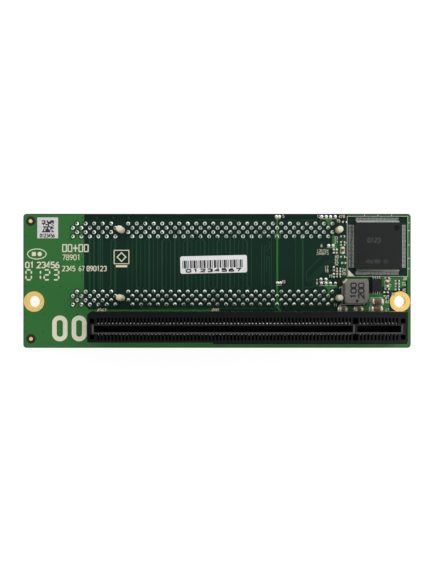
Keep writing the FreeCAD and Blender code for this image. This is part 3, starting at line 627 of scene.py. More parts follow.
class RiserSlotSettings(bpy.types.PropertyGroup):
    """Colours of the slots and the size of their solder joints."""

    cream_colour: colour_setting("Rear Slots", "Plastic of the two rear slots and their pegs", "#e0d9c0")
    black_colour: colour_setting("Front Slot", "Plastic of the x16 slot", "#101213")
    joint_radius: FloatProperty(
        name="Joint Radius", description="Solder joint of a rear slot's tail, at the board",
        subtype="DISTANCE", unit="LENGTH", min=0.0004, max=0.0009, default=0.00058)


class RiserPartSettings(bpy.types.PropertyGroup):
    """Colours of the chips and power parts."""

    chip_colour: colour_setting("Chips", "Moulded chip packages", "#1d1e1f")
    iron_colour: colour_setting("Inductor", "Pressed body of the power inductor", "#7e7c76")
    ceramic_colour: colour_setting("Capacitors", "Ceramic of the chip capacitors", "#6a4f2c")


class RiserStageSettings(bpy.types.PropertyGroup):
    """The camera and the lamps."""

    camera_height: FloatProperty(
        name="Camera Height", description="Camera above the plane that the card lies on",
        subtype="DISTANCE", unit="LENGTH", min=0.05, max=2, default=0.1729)
    focal_length: FloatProperty(
        name="Focal Length", description="Focal length on a sensor 36 mm high, in millimetres",
        min=10, max=300, default=33.8)
    key_power: FloatProperty(
        name="Key Lamp", description="Power of the large lamp",
        subtype="POWER", min=0, max=200, default=1.0)
    fill_power: FloatProperty(
        name="Fill Lamp", description="Power of the lamp opposite",
        subtype="POWER", min=0, max=200, default=0.6)


# The board

# The rear slots' pins: their pitch, half the height of a field of pins, the middle lines of both fields, the
# place of the first pin, how many positions there are and which of them the key takes; and how far apart the
# two pegs are
PITCH = 1.27
FIELD_ROWS = 1.5 * PITCH
UPPER_ROW = 15.16
LOWER_ROW = -5.16
FIRST_PIN = -43.085
PIN_COUNT = 62
KEY_PINS = (11, 12)
PEG_SPAN = 51 * PITCH

# Traces that run between the two fields of pins: pin, sideways step at the upper and at the lower end in
# half pitches, and width in trace widths
FIELD_TRACES = (
    (4, 0, 0, 2.4), (5, 0, 0, 2.4), (6, 0, 0, 1.4), (6.5, 0, 0, 2), (7, 0, 0, 1.4), (9, 1, -1, 1.6),
    (10, 0, 0, 3), (13, 0, 0, 1), (14, 0, 0, 1), (15, 0, 1, 2), (16, -1, 0, 1), (17, 1, -1, 1),
    (18, 0, 0, 2.2), (19, 0, 0, 1), (20, 0, 0, 1), (21, 1, 0, 2.2), (22, 0, -1, 1), (23, -1, 0, 1),
    (24, 0, 0, 2.2), (25, 0, 0, 1), (26, 1, 0, 1), (27, 0, 1, 2.2), (28, -1, 0, 1), (29, 1, 1, 1),
    (30, 0, 0, 1), (31, -1, 0, 2.2), (32, 0, 1, 1), (33, 0, 0, 1), (34, 1, -1, 2), (35, 0, 0, 1),
    (36, -1, 0, 1), (37, 0, 0, 2.2), (38, 0, -1, 1), (39, 1, 0, 1), (40, 0, 0, 1), (41, -1, 1, 2),
    (42, 0, 0, 1), (46.7, 0, 0, 1), (52.4, -1, 0, 1),
)

# Traces on the front between the pin fields and the bridge chip, each with its width in trace widths
CHIP_TRACES = (
    (1.0, ((35.2, 6.16), (32.99, 6.11), (26.8, -0.2))),
    (1.0, ((35.2, 5.6), (33.4, 5.55), (27.44, -0.5))),
    (1.0, ((31.17, 7.2), (26.65, 2.6), (26.65, 0.0))),
    (1.0, ((32.99, 4.37), (28.83, 0.1), (28.83, -1.65))),
    (1.0, ((33.94, 7.94), (33.94, 7.1), (34.35, 6.65))),
    (2.4, ((24.8, 12.9), (25.6, 12.0), (25.6, -2.9))),
    (1.0, ((26.1, -1.9), (28.2, -1.9), (28.4, -1.7), (30.75, -1.7))),
    (1.0, ((30.9, 19.0), (30.9, 16.2), (33.3, 13.8), (33.3, 13.0))),
    (1.0, ((30.64, -1.0), (30.64, -3.31), (29.79, -4.3), (29.79, -4.8), (32.1, -7.1), (32.8, -7.1))),
    (1.0, ((31.11, -1.0), (31.11, -3.4), (31.9, -4.5), (33.5, -6.1), (34.2, -6.1))),
    (1.6, ((33.3, -2.2), (33.3, -3.6))),
    (1.4, ((36.6, 10.2), (38.2, 10.2), (38.6, 9.8))),
    (1.4, ((38.7, 5.6), (39.6, 5.6))),
    (1.4, ((38.7, 7.2), (39.6, 7.2))),
    (1.4, ((38.7, 12.6), (39.6, 12.6))),
    (2.0, ((47.5, 1.0), (47.5, 0.3), (48.9, 0.3))),
    (2.0, ((51.6, 0.2), (51.6, -3.2))),
    (1.0, ((-5.6, 18.2), (5.2, 18.2), (6.0, 17.5))),
    (1.0, ((25.2, 18.1), (29.4, 18.1), (29.8, 18.5))),
    (1.6, ((-23.2, -7.3), (-22.3, -8.2), (16.7, -8.2), (17.4, -8.9))),
    (1.0, ((14.7, 12.3), (15.7, 11.3), (15.7, 9.9), (14.6, 8.8))),
    (1.0, ((13.7, 10.8), (13.3, 10.2), (13.3, -1.6))),
    (1.0, ((15.3, 10.4), (14.5, 10.4), (14.1, 9.9), (14.1, -1.6))),
    (1.0, ((14.8, 2.9), (14.8, 6.8), (15.2, 7.3), (15.6, 6.8), (15.6, -1.6))),
)

# Where the wide copper stops short of the board's edges, how its corners are cut, and the right edge of the
# area left of the slots
POUR_LEFT, POUR_RIGHT = BOARD_LOW.x + 0.2, BOARD_HIGH.x - 0.2
POUR_BASE, POUR_HEAD = BOARD_LOW.y + 0.2, BOARD_HIGH.y - 0.24
POUR_CUT = 0.6
LEFT_POUR_EDGE = -39.65

# Smaller copper areas under the mask on the front
POURS = (
    ((32.45, 18.8), (34.2, 18.8), (34.2, 17.75), (33.7, 17.35), (33.7, 15.6), (32.95, 15.6), (32.95, 17.35),
     (32.45, 17.75)),
    ((34.4, 13.6), (35.1, 13.6), (35.1, 11.4), (35.9, 10.6), (35.9, 9.6), (34.8, 9.6), (34.4, 10.0)),
    ((32.2, -1.2), (33.2, 0.2), (33.85, 0.2), (34.2, -1.1), (35.9, -1.4), (35.9, -2.0), (33.7, -2.5),
     (33.7, -4.0), (33.0, -4.0), (33.0, -2.5), (32.2, -2.0)),
    ((44.6, -3.7), (49.6, -3.7), (51.4, -7.2), (51.4, -9.55), (36.0, -9.55), (36.0, -7.7), (44.6, -7.4)),
    ((49.0, 1.0), (56.3, 1.0), (56.3, -1.6), (52.6, -2.9), (49.9, -2.9), (49.9, -1.7), (49.0, -1.7)),
    ((38.7, 0.9), (45.2, 0.9), (45.2, 0.3), (38.7, 0.3)),
)

# The part of the same copper that lies deeper, between the small parts left of the bridge chip
DEEP_POUR = ((35.2, 13.4), (38.7, 13.4), (38.7, 1.0), (36.9, 1.0), (36.9, 4.6), (35.2, 6.6))

# Small plated holes under the mask, on the left pour, and small round pads above the upper slot
MASKED_VIAS = (
    (-57.1, -1.75), (-52.0, -1.75), (-46.8, -1.75), (-40.2, 1.4), (-57.0, -10.0), (-51.9, -10.0),
    (-41.8, -10.0), (-57.0, -15.15), (-51.9, -15.15), (-57.1, 13.4), (-57.1, 1.3), (-52.0, 1.3), (-46.8, 1.3),
    (-57.1, 8.3), (-40.2, 18.9), (-40.2, 9.4), (-40.2, 6.4),
)
ROUND_PADS = ((-35.9, 18.8), (-30.9, 18.8), (-26.4, 18.8), (-21.1, 18.8))


def pin_x(index):
    """Where one position of the rear slots stands along the board."""
    return FIRST_PIN + index * PITCH


def field_trace(pin, upper_step, lower_step, shift=0.0):
    """The path of a trace from below the upper field of pins to above the lower one."""
    x = pin_x(pin) + shift
    top = UPPER_ROW - FIELD_ROWS + 0.1
    bottom = LOWER_ROW + FIELD_ROWS - 0.1
    path = [(x, top - 1.2 - abs(upper_step) * 0.6), (x, bottom + 1.2 + abs(lower_step) * 0.6)]
    if upper_step:
        path.insert(0, (x + upper_step * PITCH / 2, top - 0.9))
    else:
        path[0] = (x, top)
    if lower_step:
        path.append((x + lower_step * PITCH / 2, bottom + 0.9))
    else:
        path[-1] = (x, bottom)
    return path


class RISER_OT_board(bpy.types.Operator):
    """Dress the laminate and lay the copper that shows under its mask"""

    bl_idname = "riser.board"
    bl_label = "Board and Copper"

    def execute(self, context):
        dress("circuit_board", laminate_board)
        width = context.scene.riser_board.trace_width * 1000
        self.traces(width)
        self.pours()
        self.clearances()
        self.back(width)
        return {"FINISHED"}

    def traces(self, width):
        """Signal traces of the front, a wide trace that shows brightly, and the small round pads."""
        traces = Shell(FRONT, FRONT + TRACE)
        for index, (pin, upper_step, lower_step, share) in enumerate(FIELD_TRACES):
            path = field_trace(pin, upper_step, lower_step)
            traces.band(path, width * share, lift=2 * SLIVER * index)
        for index, (share, path) in enumerate(CHIP_TRACES):
            traces.band(path, width * share, lift=0.001 + 2 * SLIVER * index)
        # The wide trace has a ring round each pin that it reaches; what crosses the others stands above them
        x = pin_x(48) + 0.1
        traces.band([(x, 18.6), (x, -8.0), (x + 1.2, -9.2)], 0.52, 1, lift=0.003)
        for y in (UPPER_ROW - FIELD_ROWS, LOWER_ROW - FIELD_ROWS):
            traces.loop(circle_of(x, y, 0.95, 8, math.pi / 8), 0.2, 1, lift=0.004)
        for x, y in ROUND_PADS:
            traces.prism(circle_of(x, y, 0.3, 10), lift=0.005)
        piece = traces.build("copper_traces_front", [mask_on_trace, mask_on_copper])

    def pours(self):
        """Wide copper of the front: left of the slots, under the lower slot and round the edge, and the small
        areas among the chip parts."""
        pours = Shell(FRONT, FRONT + COPPER)
        left, right, base, head, cut = POUR_LEFT, POUR_RIGHT, POUR_BASE, POUR_HEAD, POUR_CUT
        hole_x, hole_y = middle_of(*solids_of("mounting_hole_rings")[0])
        above = circle_of(hole_x, hole_y, HOLE_CLEARANCE, 13, math.pi, -math.pi)
        below = circle_of(hole_x, hole_y, HOLE_CLEARANCE, 13, math.tau, -math.pi)
        pours.prism([(left, hole_y), *above, (LEFT_POUR_EDGE, hole_y), (LEFT_POUR_EDGE, head),
                     (left + cut, head), (left, head - cut)])
        # The area under the lower slot ends at one corner, and a narrow rim goes on round the board
        area_end, area_head, area_cut = -1.2, -8.6, 1.5
        rim_end, rim_top, rim_side, rim_base = 38.9, 0.25, 0.85, 0.9
        pours.prism([
            (left, hole_y), (left, base + cut), (left + cut, base), (right - cut, base), (right, base + cut),
            (right, head - cut), (right - cut, head), (rim_end, head), (rim_end, head - rim_top),
            (right - rim_side, head - rim_top), (right - rim_side, base + rim_base),
            (area_end, base + rim_base), (area_end, area_head), (LEFT_POUR_EDGE + area_cut, area_head),
            (LEFT_POUR_EDGE, area_head + area_cut), (LEFT_POUR_EDGE, hole_y), *below,
        ], lift=2 * SLIVER)
        for index, outline in enumerate(POURS, 2):
            pours.prism(outline, lift=5 * SLIVER * index)
        pours.prism(DEEP_POUR, 1, lift=-0.01)
        piece = pours.build("copper_pours_front", [mask_on_copper, mask_on_trace])

    def clearances(self):
        """Small masked holes, and bare rings between the left pour and the joints that stand in it."""
        holes = Shell()
        top = FRONT + COPPER + 0.004
        for x, y in MASKED_VIAS:
            holes.lathe(x, y, ((0.22, FRONT + COPPER - 0.01), (0.2, top)), 12)
        for side in ("upper", "lower"):
            for low, high in solids_of(f"pci_slot_solder_{side}"):
                x, y = middle_of(low, high)
                if x < LEFT_POUR_EDGE + 0.8:
                    holes.lathe(x, y, ((0.7, FRONT), (0.93, FRONT), (0.93, top), (0.7, top)), 20, closed=True)
        piece = holes.build("clearance_rings", [bare_laminate])

    def back(self, width):
        """Traces and one wide area of the back, between and beside the slots."""
        copper = Shell(BACK, BACK - COPPER)
        for index, (pin, upper_step, lower_step, share) in enumerate(FIELD_TRACES[::2]):
            path = field_trace(pin, lower_step, upper_step, PITCH / 2)
            copper.band([(x, y + 0.4) for x, y in path], width * share, lift=2 * SLIVER * index)
        left, right, base, head, cut = POUR_LEFT, POUR_RIGHT, POUR_BASE, POUR_HEAD, POUR_CUT
        copper.prism([
            (left, base + cut), (left + cut, base), (right - cut, base), (right, base + cut),
            (right, head - cut), (right - cut, head), (right - 5.0, head), (right - 5.0, 3.0),
            (right - 0.8, -1.2), (right - 0.8, -9.6), (-1.2, -9.6), (-1.2, -18.0), (-38.0, -18.0),
            (-38.0, -9.6), (left, -9.6),
        ], 1, lift=-10 * SLIVER)
        piece = copper.build("copper_back", [mask_on_trace, mask_on_copper])


class RISER_OT_holes(bpy.types.Operator):
    """Plate the mounting holes and lay the fiducial dots"""

    bl_idname = "riser.holes"
    bl_label = "Plated Holes and Fiducials"

    def execute(self, context):
        dress("mounting_hole_rings", immersion_gold)
        barrels = Shell()
        for low, high in solids_of("mounting_hole_rings"):
            x, y = middle_of(low, high)
            bore, outer = HOLE_BORE, (high.x - low.x) / 2
            barrels.lathe(x, y, (
                (bore, FRONT + 0.05), (bore - 0.05, FRONT + 0.03), (bore - 0.05, BACK - 0.03),
                (bore, BACK - 0.06), (outer - 0.03, BACK - 0.06), (outer, BACK - 0.04), (outer, BACK),
                (bore, BACK),
            ), 48, closed=True)
        piece = barrels.build("mounting_hole_barrels", [immersion_gold])

        grounds, dots = Shell(), Shell()
        level = FRONT + COPPER + 0.004
        ground, dot = 1.45, 0.56
        for x, y in FIDUCIALS:
            grounds.lathe(x, y, ((ground, FRONT + 0.001), (ground, level), (0.0001, level)), 32)
            dots.lathe(x, y, ((dot, FRONT + 0.002), (dot, level + 0.02), (dot - 0.06, level + 0.03)), 24)
        piece = grounds.build("fiducial_grounds", [bare_laminate])
        piece = dots.build("fiducial_dots", [immersion_gold])
        return {"FINISHED"}


# The print

# Small plain numbers beside the chip parts: digits, left end, base line and turn in degrees
PART_NUMBERS = (
    ("12", 29.9, 18.8, 0), ("47", 36.4, 18.8, 0), ("8", 37.7, 18.8, 0), ("15", 35.7, 17.5, 0),
    ("33", 35.0, 12.4, 0), ("21", 35.1, 11.2, 0), ("6", 31.0, 10.1, 0),
    ("40", 35.2, 6.8, 0), ("51", 35.2, 5.7, 0), ("52", 35.2, 4.7, 0),
    ("17", 32.2, 3.6, 0), ("18", 32.2, 2.6, 0), ("19", 33.4, 1.0, 0), ("24", 37.4, 2.9, 0),
    ("25", 37.4, 1.8, 0), ("7", 29.6, -0.4, 0), ("9", 29.6, -1.2, 0), ("3", 37.4, -2.3, 90),
    ("11", 34.8, -7.6, 0), ("4", 36.6, -7.6, 0), ("61", 50.3, -5.4, 0), ("62", 50.3, -6.6, 0),
    ("63", 50.3, -9.1, 0), ("26", 56.2, -3.3, 90), ("27", 56.2, -1.4, 90), ("28", 55.6, 0.3, 0),
    ("70", 52.0, -4.4, 0), ("5", 19.6, 18.9, 0), ("10", 19.3, -0.7, 0), ("13", 51.9, -2.0, 90),
    ("14", 51.9, -0.2, 90),
)

# Blocks of plain digits where the board carries longer lines of print: digits, left end, base line, height,
# stroke and width as a share of the height
PRINT_LINES = (
    ("01", -57.1, 3.9, 1.65, 0.34, 0.62),
    ("23456", -53.7, 3.9, 1.65, 0.34, 0.62),
    ("78901", -46.1, 6.25, 1.5, 0.2, 0.52),
    ("2345", -46.1, 2.95, 1.4, 0.24, 0.5),
    ("67", -41.2, 2.95, 1.4, 0.2, 0.45),
    ("890123", -38.8, 2.95, 1.4, 0.24, 0.5),
    ("4567", -35.7, -9.2, 0.85, 0.16, 0.6),
    ("890", -1.4, -9.2, 0.85, 0.16, 0.6),
    ("135724", 29.8, 8.7, 0.66, 0.08, 0.68),
    ("246813", 29.8, 7.8, 0.66, 0.08, 0.68),
)

# Lines below the pairs of small pads that have nothing on them: middle, level of the pads, and length
PAD_LINES = (
    (31.95, 19.2, 2.4), (34.6, 19.2, 2.4), (34.0, 10.55, 2.6), (31.8, 0.5, 2.6), (31.9, -0.75, 2.6),
    (34.65, -0.75, 2.2), (18.2, 19.2, 1.6), (18.5, -0.65, 1.6),
)


def dashes(shell, x, y, height, lit):
    """One plain digit of four upright dashes and three flat ones, of which some are printed."""
    half = height / 2
    places = {
        "a": ((0.4, height), (1.2, height)), "g": ((0.4, half), (1.2, half)), "d": ((0.4, 0), (1.2, 0)),
        "f": ((0, half + 0.5), (0, height - 0.5)), "b": ((1.6, half + 0.5), (1.6, height - 0.5)),
        "e": ((0, 0.5), (0, half - 0.5)), "c": ((1.6, 0.5), (1.6, half - 0.5)),
    }
    for name in lit:
        shell.prism(capsule([(x + along, y + up) for along, up in places[name]], 0.44))


class RISER_OT_print(bpy.types.Operator):
    """Print the outlines, plain numbers and marks on the board"""

    bl_idname = "riser.print"
    bl_label = "Board Print"

    def execute(self, context):
        ink = Shell(FRONT, FRONT + COPPER + PRINT)
        self.outlines(ink)
        for digits, x, y, turn in PART_NUMBERS:
            ink.number(digits, x, y, 0.8, 0.11, turn)
        for digits, x, y, height, stroke, wide in PRINT_LINES:
            ink.number(digits, x, y, height, stroke, width=wide)
        self.marks(ink)
        # A row of dashes, printed on the left pour
        ink.base = FRONT + COPPER
        for place, lit in enumerate(("abcdef", "bc", "abged", "abgcd")):
            dashes(ink, -57.0 + place * 2.72, 0.3, 2.95, lit)
        piece = ink.build("board_print_front", [epoxy_ink])

        # On the back: outlines round the two slots and a triangle at the first pin of each
        ink = Shell(BACK, BACK - COPPER - PRINT)
        for side in ("upper", "lower"):
            low, high = box_of(f"pci_slot_housing_{side}")
            left, right, base, head = low.x - 0.5, high.x + 0.5, low.y - 0.35, high.y + 0.35
            ink.loop([(left, base), (right, base), (right, head), (left, head)], 0.16)
        for y in (10.8, -9.4):
            ink.prism([(-49.6, y), (-48.2, y), (-48.9, y + 1.2)])
        piece = ink.build("board_print_back", [epoxy_ink])
        return {"FINISHED"}

    def outlines(self, ink):
        """Outlines of the places of the bridge chip, the inductor and the chip parts."""
        # The bridge chip's has ticks every few leads and a filled corner
        left, right, base, head = 38.85, 56.93, 1.3, 19.25
        ink.loop([(left, base), (right, base), (right, head), (left, head)], 0.1)
        for x in (43.97, 48.02, 52.07):
            ink.band([(x, head), (x, head + 0.5)], 0.14)
        for y in (17.3, 14.95, 10.7, 6.7, 3.6):
            ink.band([(right, y), (right + 0.55, y)], 0.16)
        for y in (11.3, 7.0):
            ink.band([(left - 0.5, y), (left, y)], 0.16)
        ink.prism([(39.15, 1.45), (41.0, 1.45), (39.15, 3.3)], lift=0.001)
        # The inductor's is open at two corners
        left, right = INDUCTOR_LOW.x - 0.25, INDUCTOR_HIGH.x + 0.3
        base, head = INDUCTOR_LOW.y - 0.2, INDUCTOR_HIGH.y - 0.1
        ink.band([(left + 1.6, head), (right, head), (right, base + 1.6)], 0.15)
        ink.band([(left, head - 1.8), (left, base), (right - 1.6, base)], 0.15)
        # A capacitor has a line along each of its long sides
        for node, gap in (("large_capacitors", 0.3), ("medium_capacitors", 0.25), ("middle_capacitors", 0.2)):
            for low, high in solids_of(node):
                if high.x - low.x > high.y - low.y:
                    for y in (high.y + gap, low.y - gap):
                        ink.band([(low.x - 0.2, y), (high.x + 0.2, y)], 0.13)
                else:
                    for x in (low.x - gap, high.x + gap):
                        ink.band([(x, low.y - 0.2), (x, high.y + 0.2)], 0.13)
        for x, y, wide in PAD_LINES:
            ink.band([(x - wide / 2, y - 0.68), (x + wide / 2, y - 0.68)], 0.09)

    def marks(self, ink):
        """Plain shapes where the board carries its marks."""
        # An oval round a square and a disc, and a row of frames with a cross between them
        oval = [(-53.75 + 2.78 * x, 8.0 + 1.5 * y) for x, y in circle_of(0, 0, 1, 40)]
        ink.loop(oval, 0.26)
        ink.prism(rounded_rectangle(-54.65, 8.0, 1.2, 1.2, 0.1), lift=0.001)
        ink.prism(circle_of(-52.9, 8.0, 0.66, 20), lift=0.001)
        for place in (0, 1, 3, 4):
            ink.loop(rounded_rectangle(-45.5 + place * 1.62, 9.75, 1.1, 2.05, 0.08), 0.3)
        ink.prism(capsule([(-42.25, 8.85), (-42.25, 10.65)], 0.34))
        ink.prism(capsule([(-42.8, 9.75), (-41.7, 9.75)], 0.34), lift=0.001)
        # A framed diamond over a bar, and two tall rounded frames
        ink.loop(rounded_rectangle(-28.5, 7.1, 4.4, 4.0, 0.05), 0.24)
        ink.loop(circle_of(-28.5, 7.1, 1.3, 4), 0.3)
        ink.prism(rounded_rectangle(-28.5, 4.35, 3.4, 0.6, 0.1))
        for x, wide in ((-46.9, 3.2), (-41.15, 3.1)):
            ink.loop(rounded_rectangle(x, -14.2, wide, 6.3, 1.5, 10), 1.35, lift=0.001)


# Slots and their solder

def solder_joint(shell, x, y, base, radius, height, pin, up, lean, bulge):
    """One wave-soldered joint: a thin skirt, a hollow cone of solder and the tail's tip through it."""
    # Share of the radius, rise in radii, and how much of the lean has built up
    shape = (
        (1.0, 0.0, 0.0), (1.0, 0.03, 0.0), (0.94, 0.08, 0.02), (0.76 + bulge, 0.21, 0.1),
        (0.57 + bulge, 0.36, 0.25), (0.44, 0.52, 0.45), (0.38, 0.95, 0.7),
    )
    rings = []
    for share, rise, drift in shape:
        ring = circle_of(x + lean[0] * drift, y + lean[1] * drift, radius * share, 14)
        rings.append([(px, py, base + up * rise * radius) for px, py in ring])
    shell.skin(rings)
    centre_x, centre_y = x + lean[0] * 0.7, y + lean[1] * 0.7
    tail = []
    for share, rise in ((1.0, 0.9 * radius), (1.0, height - 0.08), (0.7, height)):
        drift = 0.4 * rise / height
        outline = circle_of(centre_x + lean[0] * drift, centre_y + lean[1] * drift, pin * share, 8, 0.39)
        tail.append([(px, py, base + up * rise) for px, py in outline])
    shell.skin(tail, 1)


class RISER_OT_solder(bpy.types.Operator):
    """Solder the tails of all three slots"""

    bl_idname = "riser.solder"
    bl_label = "Solder Joints"

    def execute(self, context):
        chance = random.Random(11)
        radius = context.scene.riser_slots.joint_radius * 1000
        for node in ("pci_slot_solder_upper", "pci_slot_solder_lower"):
            joints = Shell()
            for low, high in solids_of(node):
                x, y = middle_of(low, high)
                lean = (chance.uniform(-0.14, 0.14), chance.uniform(-0.14, 0.14))
                bulge = chance.uniform(-0.05, 0.08)
                wide = radius * chance.uniform(0.95, 1.02)
                solder_joint(joints, x, y, FRONT, wide, high.z - low.z, 0.2, 1, lean, bulge)
            piece = joints.build(node.replace("solder", "joints"), [tin_solder, cut_pin], 60)
            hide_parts(node)

        joints = Shell()
        for low, high in solids_of("pcie_slot_solder"):
            x, y = middle_of(low, high)
            lean = (chance.uniform(-0.06, 0.06), chance.uniform(-0.06, 0.06))
            bulge = chance.uniform(-0.05, 0.06)
            solder_joint(joints, x, y, BACK, 0.5, high.z - low.z, 0.17, -1, lean, bulge)
        piece = joints.build("pcie_slot_joints", [tin_solder, cut_pin], 60)
        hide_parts("pcie_slot_solder")
        return {"FINISHED"}


class RISER_OT_rear_slots(bpy.types.Operator):
    """Build the two cream slots on the back, with their contacts and pegs"""

    bl_idname = "riser.rear_slots"
    bl_label = "Rear Slots"

    def execute(self, context):
        for side in ("upper", "lower"):
            self.housing(side)
            self.contacts(side)
        return {"FINISHED"}

    def housing(self, side):
        """One housing: a bevelled block with two pegs, and a card slot with contact grooves on both sides."""
        node = f"pci_slot_housing_{side}"
        low, high = box_of(node)
        middle = (low.y + high.y) / 2
        half = (high.y - low.y) / 2
        edge = 0.6
        # Half widths of the card slot, of its mouth and of the contact grooves, and the chamfer at its ends
        slot, mouth, groove, chamfer = 0.89, 1.4, 2.05, 0.4
        # Slot past its last pins and either side of the key, half a groove along the slot, and both depths
        past, key_gap, along, lead_in, floor = 1.35, 0.85, 0.42, 0.55, 8.0
        key = (pin_x(KEY_PINS[0]) + pin_x(KEY_PINS[1])) / 2
        shell = Shell()
        combs = []
        for start, end, pins in (
            (pin_x(0) - past, key - key_gap, range(KEY_PINS[0])),
            (key + key_gap, pin_x(PIN_COUNT - 1) + past, range(KEY_PINS[1] + 1, PIN_COUNT)),
        ):
            row = [(start, None)]
            for x in map(pin_x, pins):
                row += [(x - along, None), (x - along, groove), (x + along, groove), (x + along, None)]
            combs.append([*row, (end, None)])

        def rim(row, sign, open_half, spread):
            """One side of a card slot at one depth, from left to right."""
            shifts = [-spread, *[0] * (len(row) - 2), spread]
            return [(x + shift, middle + sign * (out or open_half)) for (x, out), shift in zip(row, shifts)]

        # The mating face, in two halves that meet along the slot
        for sign in (1, -1):
            face = [(low.x + edge, middle)]
            for row in combs:
                face += [(row[0][0] - chamfer, middle), *rim(row, sign, mouth, chamfer),
                         (row[-1][0] + chamfer, middle)]
            face += [(high.x - edge, middle), (high.x - edge, middle + sign * (half - edge)),
                     (low.x + edge, middle + sign * (half - edge))]
            shell.add([(x, y, 0) for x, y in face], [range(len(face))])
        # Walls and floor of each card slot
        for row in combs:
            rings = []
            for depth, open_half, spread in ((0.0, mouth, chamfer), (lead_in, slot, 0), (floor, slot, 0)):
                ring = rim(row, 1, open_half, spread) + rim(row, -1, open_half, spread)[::-1]
                rings.append([(x, y, depth) for x, y in ring])
            shell.skin(rings, open_start=True)
        # The outside, up to the board's back
        rings = []
        for inset, level in ((edge, 0.0), (0.0, edge), (0.0, BACK)):
            left, right, reach = low.x + inset, high.x - inset, half - inset
            rings.append([(left, middle - reach, level), (right, middle - reach, level),
                          (right, middle + reach, level), (left, middle + reach, level)])
        shell.skin(rings, open_start=True)
        # Pegs through the board, rounded at their tips; the slot was pushed in askew and bent the left one
        tip = high.z
        for x, lean_x, lean_y in ((key, -0.45, 0.26), (key + PEG_SPAN, 0.0, 0.08)):
            rings = []
            for radius, level in ((0.99, BACK - 0.2), (0.99, FRONT), (0.99, FRONT + 0.9), (0.99, tip - 0.75),
                                  (0.93, tip - 0.4), (0.78, tip - 0.15), (0.55, tip - 0.03), (0.3, tip)):
                bent = max(0.0, level - FRONT) / (tip - FRONT)
                ring = circle_of(x + lean_x * bent, middle + lean_y * bent, radius, 28)
                rings.append([(px, py, level) for px, py in ring])
            shell.skin(rings)
        piece = shell.build(f"rear_slot_{side}", [cream_plastic], weld=True)
        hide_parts(node)

    def contacts(self, side):
        """Bent springs that lie in the grooves and bow into the card slot."""
        node = f"pci_slot_contacts_{side}"
        low, high = box_of(node)
        middle = (low.y + high.y) / 2
        path = [(1.85, 7.9), (1.3, 6.6), (0.62, 3.6), (0.55, 3.0), (0.62, 2.5), (1.15, 1.5), (1.5, 1.25)]
        shell = Shell()
        for pin in range(PIN_COUNT):
            if pin in KEY_PINS:
                continue
            for sign in (1, -1):

                def place(out, aside, level):
                    return pin_x(pin) + aside, middle + sign * out, level

                shell.strip(path, 0.55, 0.16, place)
        piece = shell.build(f"rear_slot_springs_{side}", [spring_contact], 60)
        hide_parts(node)


class RISER_OT_front_slot(bpy.types.Operator):
    """Finish the black x16 slot and set the springs into it"""

    bl_idname = "riser.front_slot"
    bl_label = "Front Slot"

    def execute(self, context):
        dress("pcie_slot_housing", black_plastic)
        path = [(1.95, -9.1), (1.9, -5.0), (1.64, -2.6), (1.49, -1.6), (1.47, -0.76), (1.53, -0.6),
                (1.68, -0.683), (1.76, -0.95)]
        for side, sign in (("upper", 1), ("lower", -1)):
            node = f"pcie_slot_contacts_{side}"
            shell = Shell()
            for low, high in solids_of(node):
                x = middle_of(low, high)[0]

                def place(out, aside, level):
                    return x + aside, FRONT_SLOT_Y + sign * out, SLOT_TOP + level

                shell.strip(path, 0.26, 0.13, place)
            piece = shell.build(f"front_slot_springs_{side}", [spring_contact], 60)
            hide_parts(node)
        return {"FINISHED"}


# Chips and power parts

def gull_wings(chip, node, path, lead, pad):
    """Leads that bend out of a chip's sides, one for each solid of a node, and the pads under their feet.
    Lead is its width and thickness; pad is where it starts and ends outside the chip, and half its width."""
    low, high = box_of(chip)
    centre, half = (low + high) / 2, (high - low) / 2
    start, end, side = pad
    lift = 0.03
    leads, pads = Shell(), Shell()
    for low, high in solids_of(node):
        middle = (low + high) / 2
        axis = 0 if high.x - low.x > high.y - low.y else 1
        sign = math.copysign(1, middle[axis] - centre[axis])

        def place(out, aside, level):
            point = [0.0, 0.0, FRONT + lift + level]
            point[axis] = centre[axis] + sign * (half[axis] + out)
            point[1 - axis] = middle[1 - axis] + aside
            return point

        leads.strip(path, *lead, place)
        pads.block(place(start, -side, -lift), place(end, side, lift), 0.03)
    return leads, pads


class RISER_OT_bridge_chip(bpy.types.Operator):
    """Finish the bridge chip, its leads, pads and plain marking"""

    bl_idname = "riser.bridge_chip"
    bl_label = "Bridge Chip"

    def execute(self, context):
        dress("bridge_chip", moulded_epoxy)
        path = [(-0.15, 0.8), (0.2, 0.8), (0.3, 0.76), (0.36, 0.66), (0.45, 0.2), (0.52, 0.1), (0.62, 0.075),
                (1.0, 0.075)]
        leads, pads = gull_wings("bridge_chip", "bridge_chip_leads", path, (0.2, 0.13), (0.35, 1.5, 0.13))
        piece = leads.build("bridge_chip_gull_wings", [tinned_lead], 50)
        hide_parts("bridge_chip_leads")
        piece = pads.build("bridge_chip_pads", [tin_solder])

        # The ejector pin left the dimple's floor smooth
        floor = CHIP_HIGH.z - 0.1
        inset, radius = 1.65, 0.84
        dimple = Shell()
        dimple.lathe(CHIP_HIGH.x - inset, CHIP_HIGH.y - inset,
                     ((radius, floor - 0.02), (radius, floor + 0.004)), 32)
        piece = dimple.build("bridge_chip_dimple", [ejector_mark])

        marks = Shell(CHIP_HIGH.z, CHIP_HIGH.z + 0.006)
        marks.number("0123", 44.6, 11.3, 1.35, 0.2)
        marks.number("456789", 44.0, 5.2, 0.95, 0.13, width=0.55)
        marks.number("01", 49.4, 5.2, 0.95, 0.13, width=0.55)
        piece = marks.build("bridge_chip_marking", [laser_mark])
        return {"FINISHED"}


